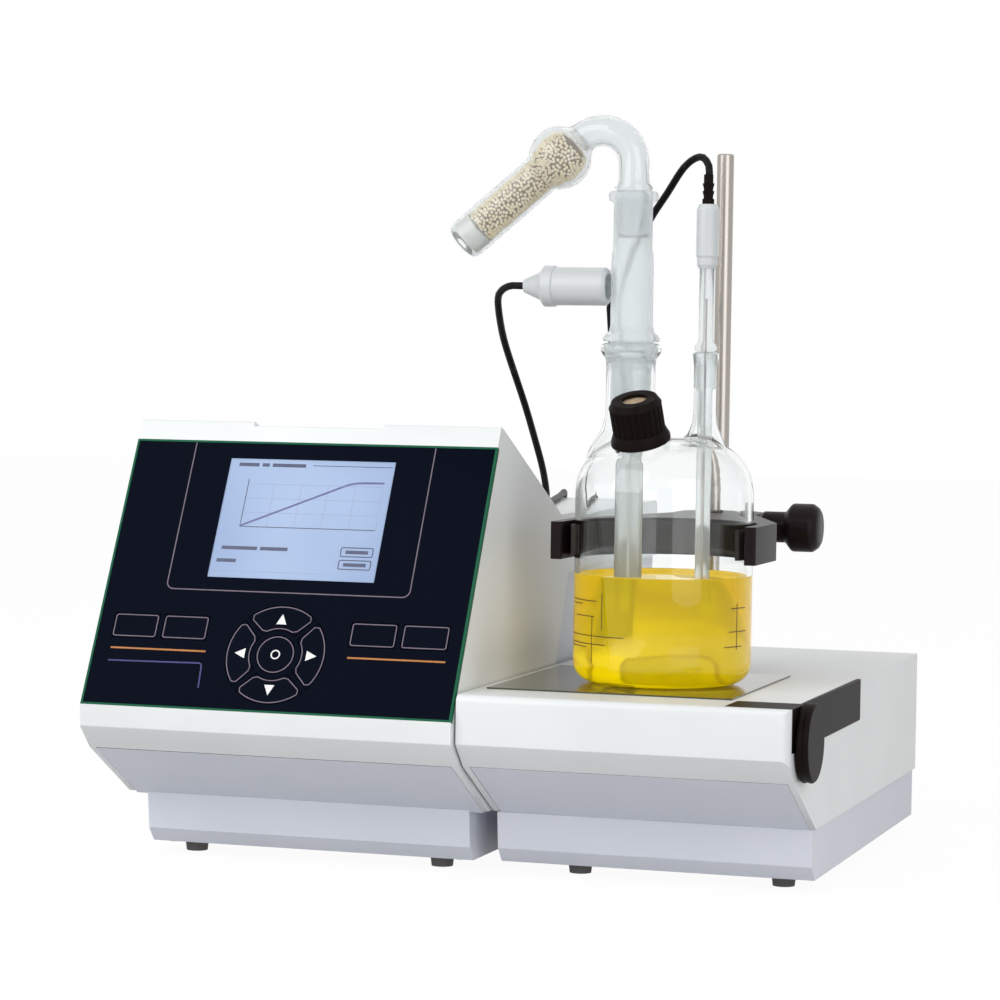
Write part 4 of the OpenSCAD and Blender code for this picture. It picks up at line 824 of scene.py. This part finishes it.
# generator electrode: one glass outline of (radius, height), up outside and down inside, with its two joints
neck = (cellX + place["neckX"], cellY, cellZ)
tubeOutside = [
    (4.5, 14), (5.5, 14), (5.5, 98), (6.2, 101), (7.6, 104), (7.85, 107), (8.0, 131.5),
    (8.5, neckTop + 0.3), (11.0, neckTop + 0.6), (11.3, neckTop + 1.6), (10.4, neckTop + 3.0),
    (8.9, neckTop + 4.4), (8.35, neckTop + 6.5), (8.35, 163), (8.2, 167), (7.7, 169.6), (7.65, 171),
    (7.65, 186.8), (8.2, 187.6), (9.5, 188.3), (9.75, 189.4), (9.75, 190.6), (9.3, 191.7), (8.4, 192.0)]
tubeInside = [
    (6.75, 192.0), (6.6, 190), (6.6, 172), (6.7, 168), (6.9, 165), (6.9, neckTop + 6), (6.7, 110),
    (5.6, 104), (4.6, 99), (4.5, 96)]
made = revolvePiece("generatorGlass", np.array(tubeOutside + tubeInside), neck, milky, closed=True, sides=72)
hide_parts("generator_tube")
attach(made, "cell")

# indicator electrode: slim glass shaft with a wire inside
side = (cellX + place["sideX"], cellY, cellZ)
shaftProfile = np.array([
    (0.0, 20), (2.4, 20.2), (2.9, 21), (2.9, 113.7), (3.4, 115.7), (3.45, 129.9), (4.4, 130.2), (4.4, 131.6),
    (3.2, 133.6), (2.9, 134.4), (2.9, 161.9), (0.0, 161.9)])
made = revolvePiece("indicatorGlass", shaftProfile, side, milky, sides=48)
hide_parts("indicator_shaft")
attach(made, "cell")
wireProfile = np.array([(0.0, 24), (0.3, 24), (0.3, 60), (0.35, 61), (0.35, 150), (0.0, 150)])
made = revolvePiece("indicatorWire", wireProfile, side, finishes["steel"], sides=16)
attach(made, "cell")

# drying tube: one glass skin carried round the bend, through the bulb and down the barrel
dry = {"tube": 6.1, "foot": 174, "bend": 13.0, "bendZ": 202.7, "turn": 130.0, "bulb": 12.5, "bulbOut": 11.61,
       "barrel": 8.25, "length": 53.0, "wall": 1.1, "rim": 3, "rimShare": 0.98, "lipDrop": 3.1,
       "lipReach": 1.9, "armPoints": 90, "sides": 56,
       "jointZ": [174, 191.8, 192.2, 193.2, 194.2, 195.6], "jointR": [6.4, 6.52, 7.5, 7.6, 6.9, 6.1]}
dryTurn = np.radians(dry["turn"])
armEnd = dry["bulbOut"] + dry["length"]


def dryLine():
    # upright, round the bend, then straight down the arm: points and distance along the arm
    up = np.stack([np.zeros(16), np.linspace(dry["foot"], dry["bendZ"], 16)], -1)[:-1]
    a = np.radians(np.linspace(0, dry["turn"], 28))
    bend = np.stack([-dry["bend"] + dry["bend"] * np.cos(a), dry["bendZ"] + dry["bend"] * np.sin(a)], -1)
    ahead = np.array([-np.sin(dryTurn), np.cos(dryTurn)])
    steps = np.linspace(0, armEnd, dry["armPoints"])
    line = np.vstack([up, bend, bend[-1] + steps[1:, None] * ahead])
    far = np.r_[np.full(len(up) + len(bend) - 1, -1.0), steps]
    return np.stack([line[:, 0] + neck[0], np.full(len(line), cellY), line[:, 1] + cellZ], -1), far, len(up)


dryPath, armFar, upCount = dryLine()


def dryRadius(inset):
    # tube, swollen to the bulb by a circle, then the barrel, the steps eased and the mouth drawn in
    r = np.where(armFar < dry["bulbOut"], dry["tube"], dry["barrel"]) - inset
    swell = (dry["bulb"] - inset) ** 2 - (armFar - dry["bulbOut"]) ** 2
    onArm = armFar > -0.5
    r = np.maximum(r, np.sqrt(np.clip(swell, 0, None)) * onArm)
    ease = np.convolve(np.pad(r, 2, "edge"), [0.15, 0.22, 0.26, 0.22, 0.15], "valid")
    r = np.where(onArm, ease, r)
    r[:upCount] = np.interp(dryPath[:upCount, 2] - cellZ, dry["jointZ"], np.array(dry["jointR"])) - inset
    end, rim = armEnd - armFar, dry["rim"]
    if inset == 0:
        mouth = dry["barrel"] - rim + np.sqrt(np.clip(rim ** 2 - (rim - end) ** 2, 0, None)) * dry["rimShare"]
    else:
        drawn = np.sqrt(np.clip(1 - ((rim - end) / rim) ** 2, 0, None))
        mouth = np.minimum(r, dry["barrel"] - dry["lipDrop"] + dry["lipReach"] * drawn)
    return np.where(end < rim, mouth, r)


outerGrid = tubeGrid(dryPath, dryRadius(0.0), dry["sides"])
innerGrid = tubeGrid(dryPath, dryRadius(dry["wall"]), dry["sides"])
whole = np.concatenate([outerGrid, innerGrid[::-1]])
made = meshPiece("dryingGlass", whole.reshape(-1, 3), gridFaces(len(whole), dry["sides"], closeRows=True),
                 thinGlass)
outward(made)
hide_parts("drying_tube")
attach(made, "drying_tube")

# molecular sieve: dry clay beads, dull tan with a faint painted glow, over a dark core that is painted shade
# between them
beadTanPaintedGlow = finish("molecular sieve bead tan with painted glow", "FBF0D6", 0.7, ("F4E3BC", "FFF6E0", 2.2), (0.3, 0.05),
                 glow="F4DCA4", Emission_Strength=0.14)
# the core's dark tan is painted shade, seen in the gaps between the beads
beadShade = finish("molecular sieve painted shade", "86642F", 0.9, ("785826", "94713B", 1.2))
# beads lie between two distances along the arm; before bulbEnd they keep a little farther from the glass
beads = {"r": 0.62, "spacing": 1.17, "count": 34000, "seed": 7, "from": 4.6, "to": 53.2, "gap": 0.1,
         "layer": 0.5, "bulbEnd": 18, "bulbGap": 1.2}
# dark core under the beads, painted shade: its ends along the arm, how far inside the bore it lies, and its
# least radius
core = {"from": 4.8, "to": 53.0, "under": 1.9, "least": 0.6}
armAhead = np.array([-np.sin(dryTurn), 0, np.cos(dryTurn)])
armAcross = np.array([np.cos(dryTurn), 0, np.sin(dryTurn)])
armStart = np.array([neck[0] - dry["bend"] + dry["bend"] * np.cos(dryTurn), cellY,
                     cellZ + dry["bendZ"] + dry["bend"] * np.sin(dryTurn)])


def boreAt(s):
    # the bore's radius at a distance along the arm
    return np.interp(s, armFar[armFar >= 0], dryRadius(dry["wall"])[armFar >= 0])


def packBeads():
    # seeded dart throwing near the glass, kept at least one spacing apart
    rng = np.random.default_rng(beads["seed"])
    s = rng.uniform(beads["from"], beads["to"], beads["count"])
    a = rng.uniform(0, 2 * np.pi, beads["count"])
    reach = boreAt(s) - beads["r"] - beads["gap"] - beads["bulbGap"] * (s < beads["bulbEnd"])
    depth = rng.uniform(0, beads["layer"], beads["count"])
    r = np.clip(reach - depth, 0, None)
    points = (armStart + s[:, None] * armAhead + (r * np.cos(a))[:, None] * armAcross
              + (r * np.sin(a))[:, None] * np.array([0, 1, 0]))
    cells = {}
    size = beads["spacing"]
    nearby = [(i, j, k) for i in (-1, 0, 1) for j in (-1, 0, 1) for k in (-1, 0, 1)]
    for p in points:
        key = tuple(np.floor(p / size).astype(int))
        near = [q for i, j, k in nearby for q in cells.get((key[0] + i, key[1] + j, key[2] + k), ())]
        if near and np.min(np.sum((np.array(near) - p) ** 2, 1)) < size ** 2:
            continue
        cells.setdefault(key, []).append(p)
    return np.array([q for group in cells.values() for q in group])


beadCentres = packBeads()
ballWork = bmesh.new()
bmesh.ops.create_uvsphere(ballWork, u_segments=6, v_segments=5, radius=beads["r"])
ballPoints = np.array([v.co[:] for v in ballWork.verts])
bmesh.ops.triangulate(ballWork, faces=ballWork.faces)
ballFaces = np.array([[v.index for v in f.verts] for f in ballWork.faces])
ballWork.free()
allPoints = (beadCentres[:, None] + ballPoints[None]).reshape(-1, 3)
allFaces = ballFaces[None] + (np.arange(len(beadCentres)) * len(ballPoints))[:, None, None]
made = meshPiece("sieveBeads", allPoints, allFaces.reshape(-1, 3).tolist(), beadTanPaintedGlow)
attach(made, "drying_tube")
# the dark core tube, painted shade showing between the beads
coreFar = np.linspace(core["from"], core["to"], 60)
coreR = boreAt(coreFar) - core["under"] - beads["bulbGap"] * (coreFar < beads["bulbEnd"])
made = solidTube("sievePaintedShadeCore", armStart + coreFar[:, None] * armAhead, np.clip(coreR, core["least"], None),
                 beadShade, sides=32)
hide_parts("desiccant")
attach(made, "drying_tube")
print("glass made,", len(beadCentres), "beads")

# studio: a white floor and room that look brighter to the eye than to the object
studio = {"floor": "C6C6C6", "floorShare": 0.87, "floorGlow": 1.08, "span": 4000.0, "roomDim": 0.5,
          "roomFull": 1.0, "aim": (0, -50, 120)}


def seenByEye(tree):
    # 1 on rays from the camera, straight, mirrored or through glass
    rays = addNode(tree, "ShaderNodeLightPath")
    seen = addNode(tree, "ShaderNodeMath", {"operation": "MAXIMUM"},
                   {0: rays.outputs["Is Camera Ray"], 1: rays.outputs["Is Glossy Ray"]})
    return addNode(tree, "ShaderNodeMath", {"operation": "MAXIMUM"},
                   {0: seen.outputs["Value"], 1: rays.outputs["Is Transmission Ray"]})


floorWhite, tree, shader = newMaterial("studio floor", studio["floor"], 0.9)
bright = addNode(tree, "ShaderNodeEmission", {"Color": (1, 1, 1, 1), "Strength": studio["floorGlow"]})
share = addNode(tree, "ShaderNodeMath", {"operation": "MULTIPLY", 1: studio["floorShare"]},
                {0: seenByEye(tree).outputs["Value"]})
blendIn = addNode(tree, "ShaderNodeMixShader", None,
                  {0: share.outputs["Value"], 1: shader.outputs["BSDF"], 2: bright.outputs["Emission"]})
tree.links.new(blendIn.outputs["Shader"], tree.nodes["Material Output"].inputs["Surface"])
span = studio["span"]
floor = meshPiece("floor", [(-span, -span, 0), (span, -span, 0), (span, span, 0), (-span, span, 0)],
                  [[0, 1, 2, 3]], floorWhite, smooth=False)

world = bpy.data.worlds.new("studio")
bpy.context.scene.world = world
world.use_nodes = True
tree = world.node_tree
back = tree.nodes["Background"]
strength = addNode(tree, "ShaderNodeMapRange", {"To Min": studio["roomDim"], "To Max": studio["roomFull"]},
                   {"Value": seenByEye(tree).outputs["Value"]})
tree.links.new(strength.outputs["Result"], back.inputs["Strength"])
back.inputs["Color"].default_value = (1, 1, 1, 1)

# area lamps: place in mm, size in metres, watts
lamps = {"key": ((-700, -1100, 800), 1.1, 9.6), "fill": ((1000, -1000, 450), 1.0, 5.5),
         "top": ((100, 100, 1300), 1.4, 1.2)}
for name, (at, size, power) in lamps.items():
    data = bpy.data.lights.new(name, "AREA")
    data.size = size
    data.energy = power
    lamp = bpy.data.objects.new(name, data)
    away = np.array(at, float) - np.array(studio["aim"])
    away /= np.linalg.norm(away)
    side = np.cross([0, 0, 1], away)
    side /= np.linalg.norm(side)
    up = np.cross(away, side)
    lamp.matrix_world = Matrix([[side[i], up[i], away[i], at[i] * mm] for i in range(3)] + [[0, 0, 0, 1]])
    bpy.context.scene.collection.objects.link(lamp)
bpy.context.scene.view_settings.view_transform = "Standard"
print("studio lit")
